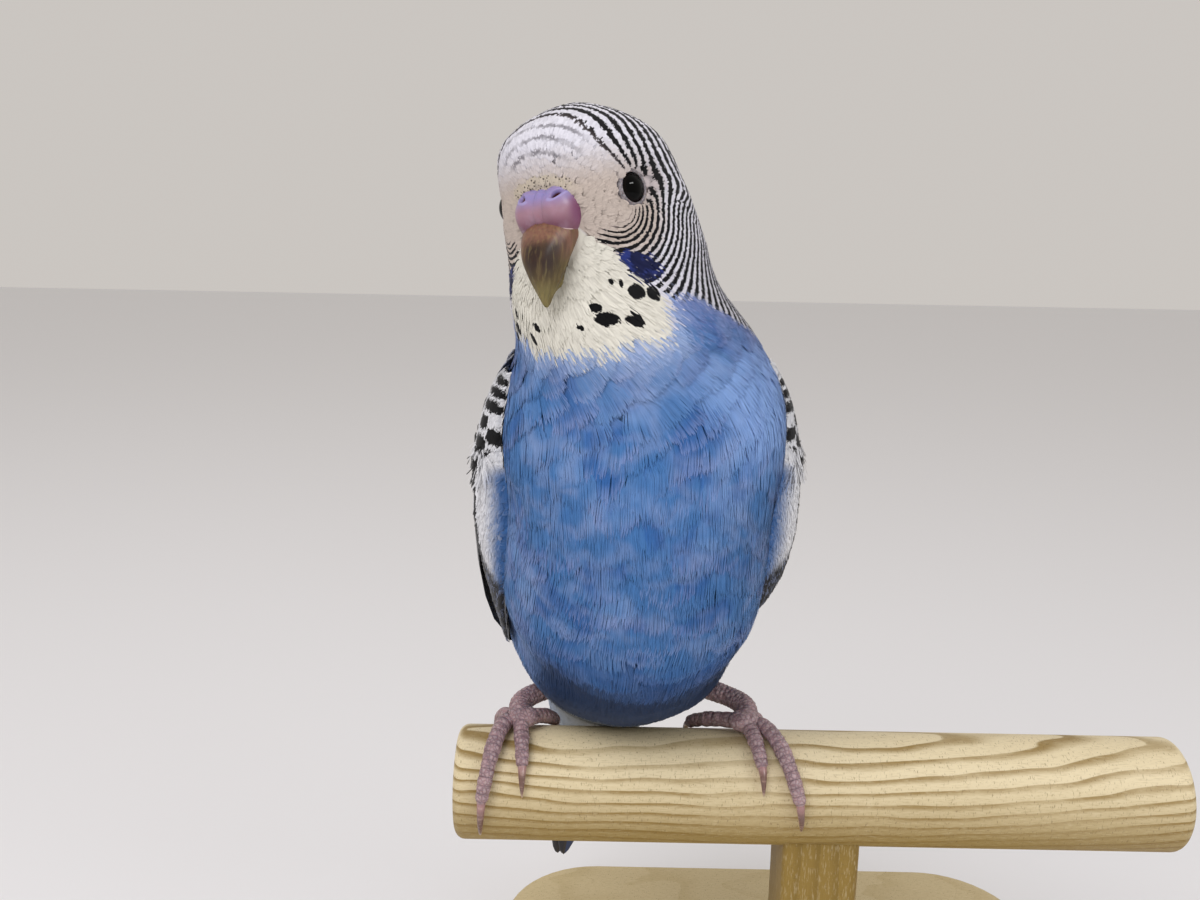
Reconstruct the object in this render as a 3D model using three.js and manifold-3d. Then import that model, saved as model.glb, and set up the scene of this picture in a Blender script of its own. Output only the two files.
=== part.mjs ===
// A life-size budgerigar perched on a dowel that a small wooden stand holds.
// Millimetres, +Z up. The bird faces -Y, so its right side is towards -X.
// The origin is the centre of the base's underside. All sizes of the bird and the
// perch are measured from the point of the perch's axis that lies beneath the bird.
import * as THREE from "three";
import { mergeVertices } from "three/addons/utils/BufferGeometryUtils.js";
import Module from "manifold-3d";

const wasm = await Module();
wasm.setup();

const GAP = 0.3; // air between neighbouring pieces
const MERGE = 1e-4;

// Stand: the dowel, the square rod under it and the base board
const PERCH_RADIUS = 9;
const PERCH_LEFT = -27.4;
const PERCH_LENGTH = 116;
const PERCH_EDGE = 1.6;
const PERCH_HEIGHT = 70; // axis above the floor
const ROD_SIDE = 12.2;
const ROD_X = 31;
const BASE_SIZE = [114, 110, 10];
const BASE_CORNER = 20;
const BASE_BEVEL = 1;
const BASE_CENTRE = [33, 19];

// Body: sections from the crown to the tail, each one given by its front and back
// points [y, z], its half width and how far back its widest place lies (0 to 1)
const BODY = [
  { front: [-10.4, 105.4], back: [-10.4, 105.4], half: 0, middle: 0.5 }, // crown
  { front: [-22, 101.2], back: [0.4, 101], half: 10, middle: 0.55 }, // brow
  { front: [-22.8, 93.4], back: [5.4, 93], half: 12.7, middle: 0.58 }, // eyes
  { front: [-21.4, 84], back: [8.4, 85.5], half: 14, middle: 0.56 }, // cheeks
  { front: [-23, 75.5], back: [10.6, 79.3], half: 15.1, middle: 0.52 }, // throat
  { front: [-23.2, 67.8], back: [14.2, 73.6], half: 18.3, middle: 0.5 }, // neck
  { front: [-24, 60.5], back: [16.4, 68.2], half: 21, middle: 0.5 }, // shoulders
  { front: [-24.6, 52.5], back: [18.9, 62], half: 21.5, middle: 0.5 }, // breast
  { front: [-24.2, 43.5], back: [21.8, 55], half: 20.2, middle: 0.5 },
  { front: [-21.8, 34], back: [25, 47.2], half: 20.5, middle: 0.5 }, // belly
  { front: [-17.6, 25], back: [28.3, 39], half: 20.4, middle: 0.5 },
  { front: [-11, 16.5], back: [31.4, 31.5], half: 19.2, middle: 0.48 }, // thighs
  { front: [-1.5, 10.4], back: [34.5, 24], half: 16.4, middle: 0.46 },
  { front: [11, 4.6], back: [37.6, 16.5], half: 12.6, middle: 0.48 }, // vent
  { front: [24, -4], back: [42.8, 4], half: 9.2, middle: 0.55 }, // rump
  { front: [36, -16.5], back: [49.2, -11.5], half: 6.6, middle: 0.6 }, // tail root
  { front: [44, -29], back: [54.6, -24.5], half: 6, middle: 0.6 },
];
const AROUND = 32; // points around a section
const HEAD_SPAN = [0, 4.15, 12]; // first and last section of a piece, and its steps
const NECK_SPAN = [4.21, 5.6, 4];
const TORSO_SPAN = [5.66, 13.75, 16];
const TAIL_CORE = { from: 13.81, to: 15.6, steps: 5, shrink: 0.72, narrow: 0.5 };
const BODY_TURN = 9; // degrees: the body faces a little to the viewer's right
const BODY_SHIFT = 0.4;
const HEAD_TURN = -36; // the head turns back past the viewer to the left
const HEAD_LEAN = -8.9; // and leans to the same side
const NECK_PIVOT = new THREE.Vector3(0, 2, 74);
const TURN_STARTS = 6.2; // the section where the neck begins to turn
const TURN_ENDS = 3.2;

// Eye, in its own frame: the ball's centre is the origin, +Z looks out
const EYE_SECTION = 2.07;
const EYE_ANGLE = 52;
const EYE_AXIS_ANGLE = 64; // degrees from straight ahead
const EYE_AXIS_RISE = 4;
const EYE_RADIUS = 2.9;
const EYE_SINK = 2.45;
const LID_PROFILE = [
  [2.1, 2.45],
  [2.35, 2.8],
  [2.8, 2.5],
  [2.8, 1.9],
  [2.56, 2.06],
];
const SOCKET_RADIUS = 3.1;
const SOCKET_REACH = 7;

// Bill, before the head is turned
const CERE_LOBE = { centre: [1.75, -21.2, 91], radii: [2.7, 3.3, 3.2] };
const NOSTRIL = { centre: [2.9, -23, 92.6], radius: 0.6, depth: 1.5 };
const UPPER_BILL = [
  { front: [-24.4, 90], back: [-18.2, 91], half: 3.8, middle: 0.7 },
  { front: [-26.2, 87.9], back: [-18.6, 88], half: 4, middle: 0.68 },
  { front: [-27.2, 85.6], back: [-20.2, 84.9], half: 3.6, middle: 0.64 },
  { front: [-27, 83], back: [-21.8, 82.1], half: 2.7, middle: 0.6 },
  { front: [-26.1, 80.6], back: [-23.2, 80.1], half: 1.4, middle: 0.55 },
  { front: [-24.8, 78.6], back: [-24.8, 78.6], half: 0, middle: 0.5 },
];
const LOWER_BILL = [
  { front: [-23.6, 84.4], back: [-16.5, 84.4], half: 2.5, middle: 0.6 },
  { front: [-23, 82.2], back: [-16.5, 82.2], half: 2.2, middle: 0.6 },
  { front: [-21.8, 80.6], back: [-16.5, 80.6], half: 1.5, middle: 0.6 },
];
const BILL_AROUND = 14;
const BILL_STEPS = 10;

// Wings: a pad of the arm and four tiers of vanes, laid out on the body's own surface
// by section and by angle round from the breast. Heights are above the body.
const WING_PAD = { sections: [5.75, 9.6], angles: [84, 168], height: 1.9, steps: 8, across: 5 };
const WING_TIERS = [
  {
    name: "primaries",
    count: 6,
    root: [[8.8, 93], [8.8, 122]],
    tip: [[15.9, 152], [12.4, 160]],
    height: [[1.3, 0.5], [1, 1.4]],
    width: [7.6, 8.6],
    point: 0.6,
  },
  {
    name: "secondaries",
    count: 6,
    root: [[8.2, 100], [7.6, 160]],
    tip: [[11.6, 116], [12.9, 173]],
    height: [[1.4, 2.2], [1.4, 1.9]],
    width: [11, 9.8],
    point: 0.25,
  },
  {
    name: "greater coverts",
    count: 6,
    root: [[7.2, 89], [6.8, 158]],
    tip: [[9.7, 95], [10.2, 169]],
    height: [[1.6, 2.9], [1.6, 2.6]],
    width: [10.2, 10.2],
    point: 0.15,
  },
  {
    name: "median coverts",
    count: 5,
    root: [[6.2, 90], [6.1, 155]],
    tip: [[8.1, 92], [8.4, 167]],
    height: [[1.6, 3.3], [1.6, 3.2]],
    width: [10.2, 10.2],
    point: 0.15,
  },
];
const VANE_STEPS = 3;
const VANE_THICKNESS = 0.9; // at the shaft; it thins to the edges
const VANE_ROLL = 7; // degrees: each vane lifts one edge over its neighbour

// Tail: pairs of vanes from the middle pair outwards, then the coverts
const TAIL_DIP = 62; // degrees below level
const TAIL_PAIRS = 6;
const TAIL_LENGTHS = [66, 30]; // from the root to the tip, middle pair to outer pair
const TAIL_WIDTHS = [8.6, 7.2];
const TAIL_TURN = 4; // degrees: the tail swings a little further round than the body
const TAIL_SPREAD = 7; // degrees at the outer pair
const TAIL_ROOT = [40.4, 4.6]; // y, z of the middle pair's root
const TAIL_DROP = 0.55; // each pair lies this much below the last
const TAIL_COVERTS = [
  { count: 5, drop: -0.2, apart: 3.4, spread: 8, lift: 0, length: 17, width: 6.2 }, // above
  { count: 5, drop: 7.6, apart: 3.2, spread: 5, lift: 12, length: 27, width: 6.4 }, // below
];

// Legs: the sides are -1 for the bird's right leg and +1 for its left
const LEGS = [
  { name: "right", side: -1, ankle: [-9.4, 9.4, 20.5], palm: [-16.9, 0.6] },
  { name: "left", side: 1, ankle: [10.4, 9.4, 20.8], palm: [18.6, 0.6] },
];
const THIGH = { offset: [2.6, -4.8, -4], radii: [5.2, 6.2, 5] };
const TARSUS_RADII = [1.75, 1.35, 1.5];
const PALM_RADII = [2.5, 2.2, 1.7];
const PALM_LIFT = 1.75;
// Toes run round the perch: places along it from the palm, and angles from its top
// towards the front, at the toe's root, the toe's end and the claw's tip
const TOES = [
  { name: "outer_front", run: [1.6, 6.4], angles: [6, 96, 122], radii: [1.3, 0.95], scutes: 9 },
  { name: "inner_front", run: [-1.2, 0.6], angles: [8, 48, 74], radii: [1.2, 0.9], scutes: 5 },
  { name: "outer_back", run: [1.9, 4.8], angles: [-8, -84, -108], radii: [1.3, 0.95], scutes: 7 },
  { name: "inner_back", run: [-1.1, -3], angles: [-8, -44, -70], radii: [1.15, 0.9], scutes: 4 },
];
const TOE_SIDES = 6;
const SCUTE_STEP = 0.13; // share of the radius that each scute stands up
const CLAW_SIDES = 6;
const CLAW_STEPS = 5;
const CLAW_RADIUS = 0.66;
const CLAW_ARCH = 0.9;

const COLOURS = {
  blue: 0x5b84d6,
  white: 0xe9e7e2,
  barred: 0x8c8b90,
  cere: 0xb98fc4,
  horn: 0x8a7440,
  eye: 0x08080a,
  lid: 0x6d6870,
  leg: 0xb88a94,
  claw: 0xa98286,
  dark: 0x3a3d4c,
  pine: 0xcdb27c,
};

const X = new THREE.Vector3(1, 0, 0);
const Y = new THREE.Vector3(0, 1, 0);
const Z = new THREE.Vector3(0, 0, 1);
const radians = THREE.MathUtils.degToRad;
const lerp = THREE.MathUtils.lerp;
const smoothstep = THREE.MathUtils.smoothstep;

// A closed geometry from rings of points. A ring of one point is a pole, and any other
// first or last ring gets a flat cap. With paired, a vane's two faces split alike.
function loft(rings, paired = false) {
  const points = [];
  const starts = rings.map((ring) => {
    const start = points.length;
    points.push(...ring);
    return start;
  });
  const triangles = [];
  for (let i = 0; i + 1 < rings.length; i++) {
    const [a, b] = [starts[i], starts[i + 1]];
    const count = Math.max(rings[i].length, rings[i + 1].length);
    for (let j = 0; j < count; j++) {
      const next = (j + 1) % count;
      if (rings[i].length === 1) triangles.push(a, b + next, b + j);
      else if (rings[i + 1].length === 1) triangles.push(a + j, a + next, b);
      else if (paired && j % 2 === 1) {
        triangles.push(a + j, a + next, b + j);
        triangles.push(a + next, b + next, b + j);
      } else {
        triangles.push(a + j, a + next, b + next);
        triangles.push(a + j, b + next, b + j);
      }
    }
  }
  for (const end of [0, rings.length - 1]) {
    const ring = rings[end];
    if (ring.length === 1) continue;
    const centre = points.length;
    points.push(ring.reduce((sum, p) => sum.add(p), new THREE.Vector3()).divideScalar(ring.length));
    for (let j = 0; j < ring.length; j++) {
      const pair = [starts[end] + j, starts[end] + ((j + 1) % ring.length)];
      if (end === 0) pair.reverse();
      triangles.push(centre, ...pair);
    }
  }
  return new THREE.BufferGeometry().setFromPoints(points).setIndex(triangles);
}

// A closed geometry as a solid, its faces turned out.
function solidOf(geometry) {
  const bare = geometry.clone();
  bare.deleteAttribute("normal");
  bare.deleteAttribute("uv");
  const merged = mergeVertices(bare, MERGE);
  const make = (triVerts) =>
    new wasm.Manifold(
      new wasm.Mesh({
        numProp: 3,
        vertProperties: new Float32Array(merged.attributes.position.array),
        triVerts,
      }),
    );
  const faces = new Uint32Array(merged.index.array);
  const solid = make(faces);
  if (solid.volume() > 0) return solid;
  for (let i = 0; i < faces.length; i += 3) [faces[i], faces[i + 1]] = [faces[i + 1], faces[i]];
  return make(faces);
}

// The largest closed surface of a solid.
function largest(solid) {
  return solid.decompose().reduce((best, piece) => (piece.volume() > best.volume() ? piece : best));
}

function meshOf(name, solid, colour, roughness = 0.8, metalness = 0) {
  const { numProp, vertProperties, triVerts } = largest(solid).getMesh();
  const positions = new Float32Array((vertProperties.length / numProp) * 3);
  for (let i = 0; i * numProp < vertProperties.length; i++)
    positions.set(vertProperties.subarray(i * numProp, i * numProp + 3), i * 3);
  const geometry = new THREE.BufferGeometry();
  geometry.setAttribute("position", new THREE.BufferAttribute(positions, 3));
  geometry.setIndex(new THREE.BufferAttribute(new Uint32Array(triVerts), 1));
  geometry.computeVertexNormals();
  const material = new THREE.MeshStandardMaterial({ color: colour, roughness, metalness });
  const mesh = new THREE.Mesh(geometry, material);
  mesh.name = name;
  return mesh;
}

// A smooth value through a row of numbers, one per section.
function through(before, from, to, after, t) {
  const curve = (2 * from - 2 * to + (to - before) / 2 + (after - from) / 2) * t ** 3;
  const bend = (3 * (to - from) - (to - before) - (after - from) / 2) * t ** 2;
  return curve + bend + ((to - before) / 2) * t + from;
}

// The section at place k of a table. Before a table that starts at a point, the mirrored
// second section makes the point a smooth pole.
function sectionAt(table, k) {
  const i = Math.min(Math.floor(k), table.length - 2);
  const mirrored = ({ front, back, half, middle }) => ({
    front: back,
    back: front,
    half: -half,
    middle: 1 - middle,
  });
  const startsAtPole = table[0].half === 0;
  const endsAtPole = table.at(-1).half === 0;
  const pick = (n) => {
    if (n < 0) return startsAtPole ? mirrored(table[1]) : table[0];
    if (n >= table.length) return endsAtPole ? mirrored(table.at(-2)) : table.at(-1);
    return table[n];
  };
  const four = [i - 1, i, i + 1, i + 2].map(pick);
  const value = (read) => through(...four.map(read), k - i);
  return {
    front: [value((s) => s.front[0]), value((s) => s.front[1])],
    back: [value((s) => s.back[0]), value((s) => s.back[1])],
    half: value((s) => s.half),
    middle: lerp(table[i].middle, table[i + 1].middle, k - i),
  };
}

// A point of a section, at an angle round from the front, raised by out.
function sectionPoint(section, degrees, out = 0) {
  const { front, back, half, middle } = section;
  const angle = radians(degrees);
  const centre = [lerp(front[0], back[0], middle), lerp(front[1], back[1], middle)];
  const end = Math.cos(angle) > 0 ? front : back;
  const span = Math.hypot(end[0] - centre[0], end[1] - centre[1]);
  const reach = Math.abs(Math.cos(angle)) * (span > 0 ? 1 + out / span : 0);
  return new THREE.Vector3(
    (half + out) * Math.sin(angle),
    centre[0] + (end[0] - centre[0]) * reach,
    centre[1] + (end[1] - centre[1]) * reach,
  );
}

// Turns a point with the body, and with the head by its share of the head's turn.
function posed(point, headShare) {
  return point
    .sub(NECK_PIVOT)
    .applyAxisAngle(Y, radians(HEAD_LEAN * headShare))
    .applyAxisAngle(Z, radians(HEAD_TURN * headShare))
    .add(NECK_PIVOT)
    .applyAxisAngle(Z, radians(BODY_TURN))
    .addScaledVector(X, BODY_SHIFT);
}

const headShareAt = (k) => 1 - smoothstep(k, TURN_ENDS, TURN_STARTS);
const inHead = (point) => posed(point, 1);

function bodyPoint(k, degrees, out = 0) {
  return posed(sectionPoint(sectionAt(BODY, k), degrees, out), headShareAt(k));
}

const anglesAround = (count) => Array.from({ length: count }, (_, j) => (360 * j) / count);

// The stretch of the body between two sections, raised by out.
function bodyStretch([from, to, steps], out = 0) {
  const rings = [];
  for (let i = 0; i <= steps; i++) {
    const k = lerp(from, to, i / steps);
    const poled = k === 0;
    const angles = poled ? [0] : anglesAround(AROUND);
    const lifted = poled ? bodyPoint(0, 0).addScaledVector(Z, out) : null;
    rings.push(poled ? [lifted] : angles.map((a) => bodyPoint(k, a, out)));
  }
  return solidOf(loft(rings));
}

// A bill's half, raised by out.
function billStretch(table, out = 0) {
  const last = table.length - 1;
  const poled = table[last].half === 0;
  const rings = [];
  for (let i = 0; i <= BILL_STEPS; i++) {
    const k = (last * i) / BILL_STEPS;
    const section = sectionAt(table, k);
    const atPole = poled && i === BILL_STEPS;
    const angles = atPole ? [0] : anglesAround(BILL_AROUND);
    rings.push(angles.map((a) => inHead(sectionPoint(section, a, atPole ? 0 : out))));
  }
  return solidOf(loft(rings));
}

function ellipsoid([x, y, z], radii, wide = 20, high = 12) {
  const geometry = new THREE.SphereGeometry(1, wide, high);
  geometry.scale(...radii).translate(x, y, z);
  return geometry;
}

function movedBy(geometry, move) {
  const places = geometry.attributes.position;
  for (let i = 0; i < places.count; i++) {
    const point = move(new THREE.Vector3().fromBufferAttribute(places, i));
    places.setXYZ(i, point.x, point.y, point.z);
  }
  return geometry;
}

// A tube along path(t), round or flattened, with its rings in frames whose first axis
// is up(t).
function tube(path, radius, up, sides, places, flatten = 1) {
  const step = 1e-3;
  const rings = places.map((t) => {
    const centre = path(t);
    const along = path(t + step).sub(path(t - step)).normalize();
    const across = new THREE.Vector3().crossVectors(along, up(t)).normalize();
    const rise = new THREE.Vector3().crossVectors(across, along);
    const r = radius(t);
    if (r === 0) return [centre];
    return anglesAround(sides).map((degrees) =>
      centre
        .clone()
        .addScaledVector(rise, r * flatten * Math.cos(radians(degrees)))
        .addScaledVector(across, r * Math.sin(radians(degrees))),
    );
  });
  return solidOf(loft(rings));
}

// A feather vane along path(t) with its flat side towards out(t). Its section is a flat
// diamond with the shaft in the middle, and roll lifts one edge over its neighbour.
function vane(path, out, width, point, roll) {
  const step = 1e-2;
  const rings = [];
  for (let i = 0; i <= VANE_STEPS; i++) {
    const t = i / VANE_STEPS;
    const centre = path(t);
    const along = path(t + step).sub(path(t - step)).normalize();
    const across = new THREE.Vector3().crossVectors(along, out(t)).normalize();
    const face = new THREE.Vector3().crossVectors(across, along);
    across.applyAxisAngle(along, radians(roll));
    face.applyAxisAngle(along, radians(roll));
    if (i === VANE_STEPS) {
      rings.push([centre]);
      continue;
    }
    const broad = lerp(0.5, 1, smoothstep(t, 0, 0.45)) * lerp(1, 0.72 - 0.3 * point, smoothstep(t, 0.5, 0.95));
    const half = (width / 2) * broad;
    const thick = (VANE_THICKNESS / 2) * lerp(1, 0.6, t);
    rings.push([
      centre.clone().addScaledVector(across, -half),
      centre.clone().addScaledVector(face, thick),
      centre.clone().addScaledVector(across, half),
      centre.clone().addScaledVector(face, -thick),
    ]);
  }
  return solidOf(loft(rings, true));
}

const union = (solids) => solids.reduce((sum, solid) => sum.add(solid));

function makeWing(side) {
  const outward = (k, degrees) => bodyPoint(k, side * degrees, 1).sub(bodyPoint(k, side * degrees, 0)).normalize();
  const place = (k, degrees, height) => bodyPoint(k, side * degrees, GAP + height);
  const { sections, angles, height, steps, across } = WING_PAD;
  const rings = [];
  for (let i = 0; i <= steps; i++) {
    const t = i / steps;
    const k = lerp(sections[0], sections[1], t);
    const full = Math.sqrt(Math.max(0, 1 - (2 * t - 1) ** 4));
    const ring = [];
    const middle = lerp(angles[0], angles[1], 0.5);
    const reach = ((angles[1] - angles[0]) / 2) * lerp(0.25, 1, full);
    for (let j = 0; j <= across; j++) {
      const q = j / across;
      const rise = 0.5 + (height - 0.5) * full * Math.sqrt(Math.max(0, 1 - (2 * q - 1) ** 4));
      ring.push(place(k, middle + reach * (2 * q - 1), rise));
    }
    for (let j = across; j >= 0; j--) ring.push(place(k, middle + reach * ((2 * j) / across - 1), 0.1));
    rings.push(ring);
  }
  const parts = [solidOf(loft(rings))];
  for (const tier of WING_TIERS)
    for (let n = 0; n < tier.count; n++) {
      const u = n / (tier.count - 1);
      const between = ([a, b]) => [lerp(a[0], b[0], u), lerp(a[1], b[1], u)];
      const [rootK, rootAngle] = between(tier.root);
      const [tipK, tipAngle] = between(tier.tip);
      const [low, high] = between(tier.height);
      const at = (t) => [lerp(rootK, tipK, t), lerp(rootAngle, tipAngle, t)];
      const path = (t) => place(...at(t), lerp(low, high, Math.sin((Math.PI * t) / 2)));
      const out = (t) => outward(...at(t));
      parts.push(vane(path, out, lerp(...tier.width, u), tier.point, side * VANE_ROLL));
    }
  return union(parts);
}

// The fleshy root of the tail: the body's sections drawn in towards the back.
function tailCore() {
  const { from, to, steps, shrink, narrow } = TAIL_CORE;
  const rings = [];
  for (let i = 0; i <= steps; i++) {
    const t = i / steps;
    const section = sectionAt(BODY, lerp(from, to, t));
    section.front = section.front.map((value, axis) => lerp(value, section.back[axis], shrink * t));
    section.half *= 1 - narrow * t;
    rings.push(anglesAround(AROUND / 2).map((a) => posed(sectionPoint(section, a), 0)));
  }
  return solidOf(loft(rings));
}

function makeTail() {
  const dip = radians(TAIL_DIP);
  const back = new THREE.Vector3(0, Math.cos(dip), -Math.sin(dip));
  const up = new THREE.Vector3(0, Math.sin(dip), Math.cos(dip));
  const root = new THREE.Vector3(0, ...TAIL_ROOT);
  const feather = ({ offset, drop, spread, lift = 0, length, width, point, roll }) => {
    const turned = (direction) =>
      direction.clone().applyAxisAngle(X, radians(lift)).applyAxisAngle(up, radians(spread));
    const along = turned(back).applyAxisAngle(Z, radians(TAIL_TURN));
    const face = turned(up).applyAxisAngle(Z, radians(TAIL_TURN + BODY_TURN));
    const start = root.clone().addScaledVector(X, offset).addScaledVector(up, -drop);
    const path = (t) => posed(start.clone().addScaledVector(along, length * t), 0);
    return vane(path, () => face, width, point, roll);
  };
  const parts = [tailCore()];
  for (let n = 0; n < TAIL_PAIRS; n++) {
    const u = n / (TAIL_PAIRS - 1);
    for (const side of [-1, 1])
      parts.push(
        feather({
          offset: side * lerp(1.1, 3.4, u),
          drop: 1.2 + TAIL_DROP * n + 0.2 * side,
          spread: side * lerp(0.4, TAIL_SPREAD, u),
          length: lerp(...TAIL_LENGTHS, u ** 0.8),
          width: lerp(...TAIL_WIDTHS, u),
          point: 1 - u,
          roll: side * 6,
        }),
      );
  }
  for (const { count, drop, apart, spread, lift, length, width } of TAIL_COVERTS)
    for (let n = 0; n < count; n++) {
      const u = (2 * n) / (count - 1) - 1;
      parts.push(
        feather({
          offset: apart * u,
          drop: drop + u * u * Math.sign(2 - drop),
          spread: spread * u,
          lift,
          length: length * (1 - 0.2 * u * u),
          width,
          point: 0.4,
          roll: 6 * u,
        }),
      );
    }
  return union(parts);
}

const eyes = [1, -1].map((side) => {
  const surface = sectionPoint(sectionAt(BODY, EYE_SECTION), side * EYE_ANGLE);
  const flat = radians(EYE_AXIS_ANGLE);
  const rise = radians(EYE_AXIS_RISE);
  const axis = new THREE.Vector3(
    side * Math.sin(flat) * Math.cos(rise),
    -Math.cos(flat) * Math.cos(rise),
    Math.sin(rise),
  );
  const centre = surface.addScaledVector(axis, -EYE_SINK);
  const turn = new THREE.Quaternion().setFromUnitVectors(Z, axis);
  const set = (geometry) => movedBy(geometry, (p) => inHead(p.applyQuaternion(turn).add(centre)));
  return { side, set };
});

// A closed turned form about +Z from points [radius, height].
function turned(profile, segments) {
  const outline = profile.map(([radius, height]) => new THREE.Vector2(radius, height));
  return new THREE.LatheGeometry(outline, segments).rotateX(Math.PI / 2);
}

function socketOf(eye) {
  const clear = EYE_RADIUS + GAP;
  const profile = [];
  for (let i = 0; i <= 4; i++) {
    const angle = -Math.PI / 2 + (i / 4) * (Math.PI / 2 + 0.24);
    profile.push([Math.max(0, clear * Math.cos(angle)), clear * Math.sin(angle)]);
  }
  profile.push([SOCKET_RADIUS, SOCKET_REACH], [0, SOCKET_REACH]);
  return solidOf(eye.set(turned(profile, 14)));
}

function makeEye(eye) {
  const ball = new THREE.SphereGeometry(EYE_RADIUS, 16, 10).rotateX(Math.PI / 2);
  return solidOf(eye.set(ball));
}

function makeLid(eye) {
  return solidOf(eye.set(turned([...LID_PROFILE, LID_PROFILE[0]], 18)));
}

function makeCere(grow = 0) {
  const { centre, radii } = CERE_LOBE;
  const lobes = [-1, 1].map((side) =>
    solidOf(
      movedBy(
        ellipsoid([side * centre[0], centre[1], centre[2]], radii.map((r) => r + grow), 14, 8),
        inHead,
      ),
    ),
  );
  return union(lobes);
}

function nostril(side) {
  const { centre, radius, depth } = NOSTRIL;
  const hole = ellipsoid([side * centre[0], centre[1], centre[2]], [radius * 1.3, depth, radius], 8, 5);
  return solidOf(movedBy(hole, inHead));
}

// A point beside the perch: place along it, angle from its top to the front, and height
// above its surface.
function onPerch(x, degrees, height) {
  const angle = radians(degrees);
  const reach = PERCH_RADIUS + height;
  return new THREE.Vector3(x, -reach * Math.sin(angle), reach * Math.cos(angle));
}

const fromPerch = (degrees) => new THREE.Vector3(0, -Math.sin(radians(degrees)), Math.cos(radians(degrees)));

function makeThigh(leg) {
  const [dx, dy, dz] = THIGH.offset;
  const [x, y, z] = leg.ankle;
  return solidOf(ellipsoid([x + leg.side * dx, y + dy, z + dz], THIGH.radii, 16, 10));
}

function makeTarsus(leg, grow = 0) {
  const ankle = new THREE.Vector3(...leg.ankle);
  const [x, y] = leg.palm;
  const palm = new THREE.Vector3(x, y, PERCH_RADIUS + GAP + PALM_LIFT);
  const path = (t) => ankle.clone().lerp(palm, t);
  const [top, waist, foot] = TARSUS_RADII;
  const radius = (t) => grow + through(top, top, waist, foot, t * 0.999);
  const places = [0, 0.15, 0.3, 0.45, 0.6, 0.75, 0.9, 1];
  const shank = tube(path, radius, () => Y, 10, places);
  const ball = solidOf(ellipsoid(palm.toArray(), PALM_RADII.map((r) => r + grow), 12, 8));
  return shank.add(ball);
}

function toePath(leg, toe, height) {
  const [near, far] = toe.run;
  const [start, end] = toe.angles;
  const x = (t) => leg.palm[0] + leg.side * lerp(near, far, t);
  return (t) => onPerch(x(t), lerp(start, end, t), GAP + height(t));
}

function makeToe(leg, toe, grow = 0) {
  const [thick, slim] = toe.radii;
  const size = (t) => lerp(thick, slim, t);
  const path = toePath(leg, toe, size);
  const up = (t) => fromPerch(lerp(toe.angles[0], toe.angles[1], t));
  const places = [];
  const heights = new Map();
  for (let n = 0; n < toe.scutes; n++)
    for (const [share, rise] of [[0.04, 1], [0.96, 1 - SCUTE_STEP]]) {
      const t = (n + share) / toe.scutes;
      places.push(t);
      heights.set(t, rise);
    }
  const end = 1.03;
  places.push(end);
  heights.set(end, 0.55);
  const radius = (t) => size(t) * heights.get(t) + grow;
  return tube(path, radius, up, TOE_SIDES, places, 0.94);
}

function makeClaw(leg, toe) {
  const [, end, tip] = toe.angles;
  const [near, far] = toe.run;
  const x = leg.palm[0] + leg.side * far;
  const drift = (leg.side * (far - near)) / 12;
  const arch = (t) => CLAW_ARCH * Math.sin(Math.PI * Math.min(1, t)) * 0.6 + lerp(CLAW_RADIUS + 0.15, 0.12, t);
  const path = (t) => onPerch(x + drift * t, lerp(end, tip, t), GAP + arch(t));
  const up = (t) => fromPerch(lerp(end, tip, t));
  const places = Array.from({ length: CLAW_STEPS + 1 }, (_, i) => i / CLAW_STEPS);
  const radius = (t) => (t === 1 ? 0 : CLAW_RADIUS * (1 - t) ** 0.7 + 0.06);
  return tube(path, radius, up, CLAW_SIDES, places);
}

function makePerch(grow = 0) {
  const profile = [[0, 0]];
  const radius = PERCH_RADIUS + grow;
  for (const [height, from] of [[0, -90], [PERCH_LENGTH, 0]])
    for (let i = 0; i <= 2; i++) {
      const angle = radians(from + 45 * i);
      const centre = height === 0 ? PERCH_EDGE : PERCH_LENGTH - PERCH_EDGE;
      profile.push([radius - PERCH_EDGE + PERCH_EDGE * Math.cos(angle), centre + PERCH_EDGE * Math.sin(angle)]);
    }
  profile.push([0, PERCH_LENGTH]);
  return solidOf(turned(profile, 32).rotateY(Math.PI / 2).translate(PERCH_LEFT, 0, 0));
}

function makeRod() {
  const bottom = BASE_SIZE[2] + GAP - PERCH_HEIGHT;
  const rod = new THREE.BoxGeometry(ROD_SIDE, ROD_SIDE, -bottom);
  rod.translate(ROD_X, 0, bottom / 2);
  return solidOf(rod).subtract(makePerch(GAP));
}

function makeBase() {
  const [long, wide, thick] = BASE_SIZE;
  const [halfLong, halfWide] = [long / 2 - BASE_BEVEL, wide / 2 - BASE_BEVEL];
  const corner = BASE_CORNER - BASE_BEVEL;
  const outline = new THREE.Shape();
  outline.absarc(halfLong - corner, halfWide - corner, corner, 0, Math.PI / 2);
  outline.absarc(corner - halfLong, halfWide - corner, corner, Math.PI / 2, Math.PI);
  outline.absarc(corner - halfLong, corner - halfWide, corner, Math.PI, 1.5 * Math.PI);
  outline.absarc(halfLong - corner, corner - halfWide, corner, 1.5 * Math.PI, 2 * Math.PI);
  const board = new THREE.ExtrudeGeometry(outline, {
    depth: thick - 2 * BASE_BEVEL,
    bevelThickness: BASE_BEVEL,
    bevelSize: BASE_BEVEL,
    bevelSegments: 1,
    curveSegments: 6,
  });
  board.translate(...BASE_CENTRE, BASE_BEVEL - PERCH_HEIGHT);
  return solidOf(board);
}

const bird = new THREE.Group();
bird.position.set(-BASE_CENTRE[0], -BASE_CENTRE[1], PERCH_HEIGHT);
const add = (...details) => bird.add(meshOf(...details));

// Stand
add("perch", makePerch(), COLOURS.pine, 0.6);
add("stand_rod", makeRod(), COLOURS.pine, 0.6);
add("stand_base", makeBase(), COLOURS.pine, 0.6);

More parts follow.
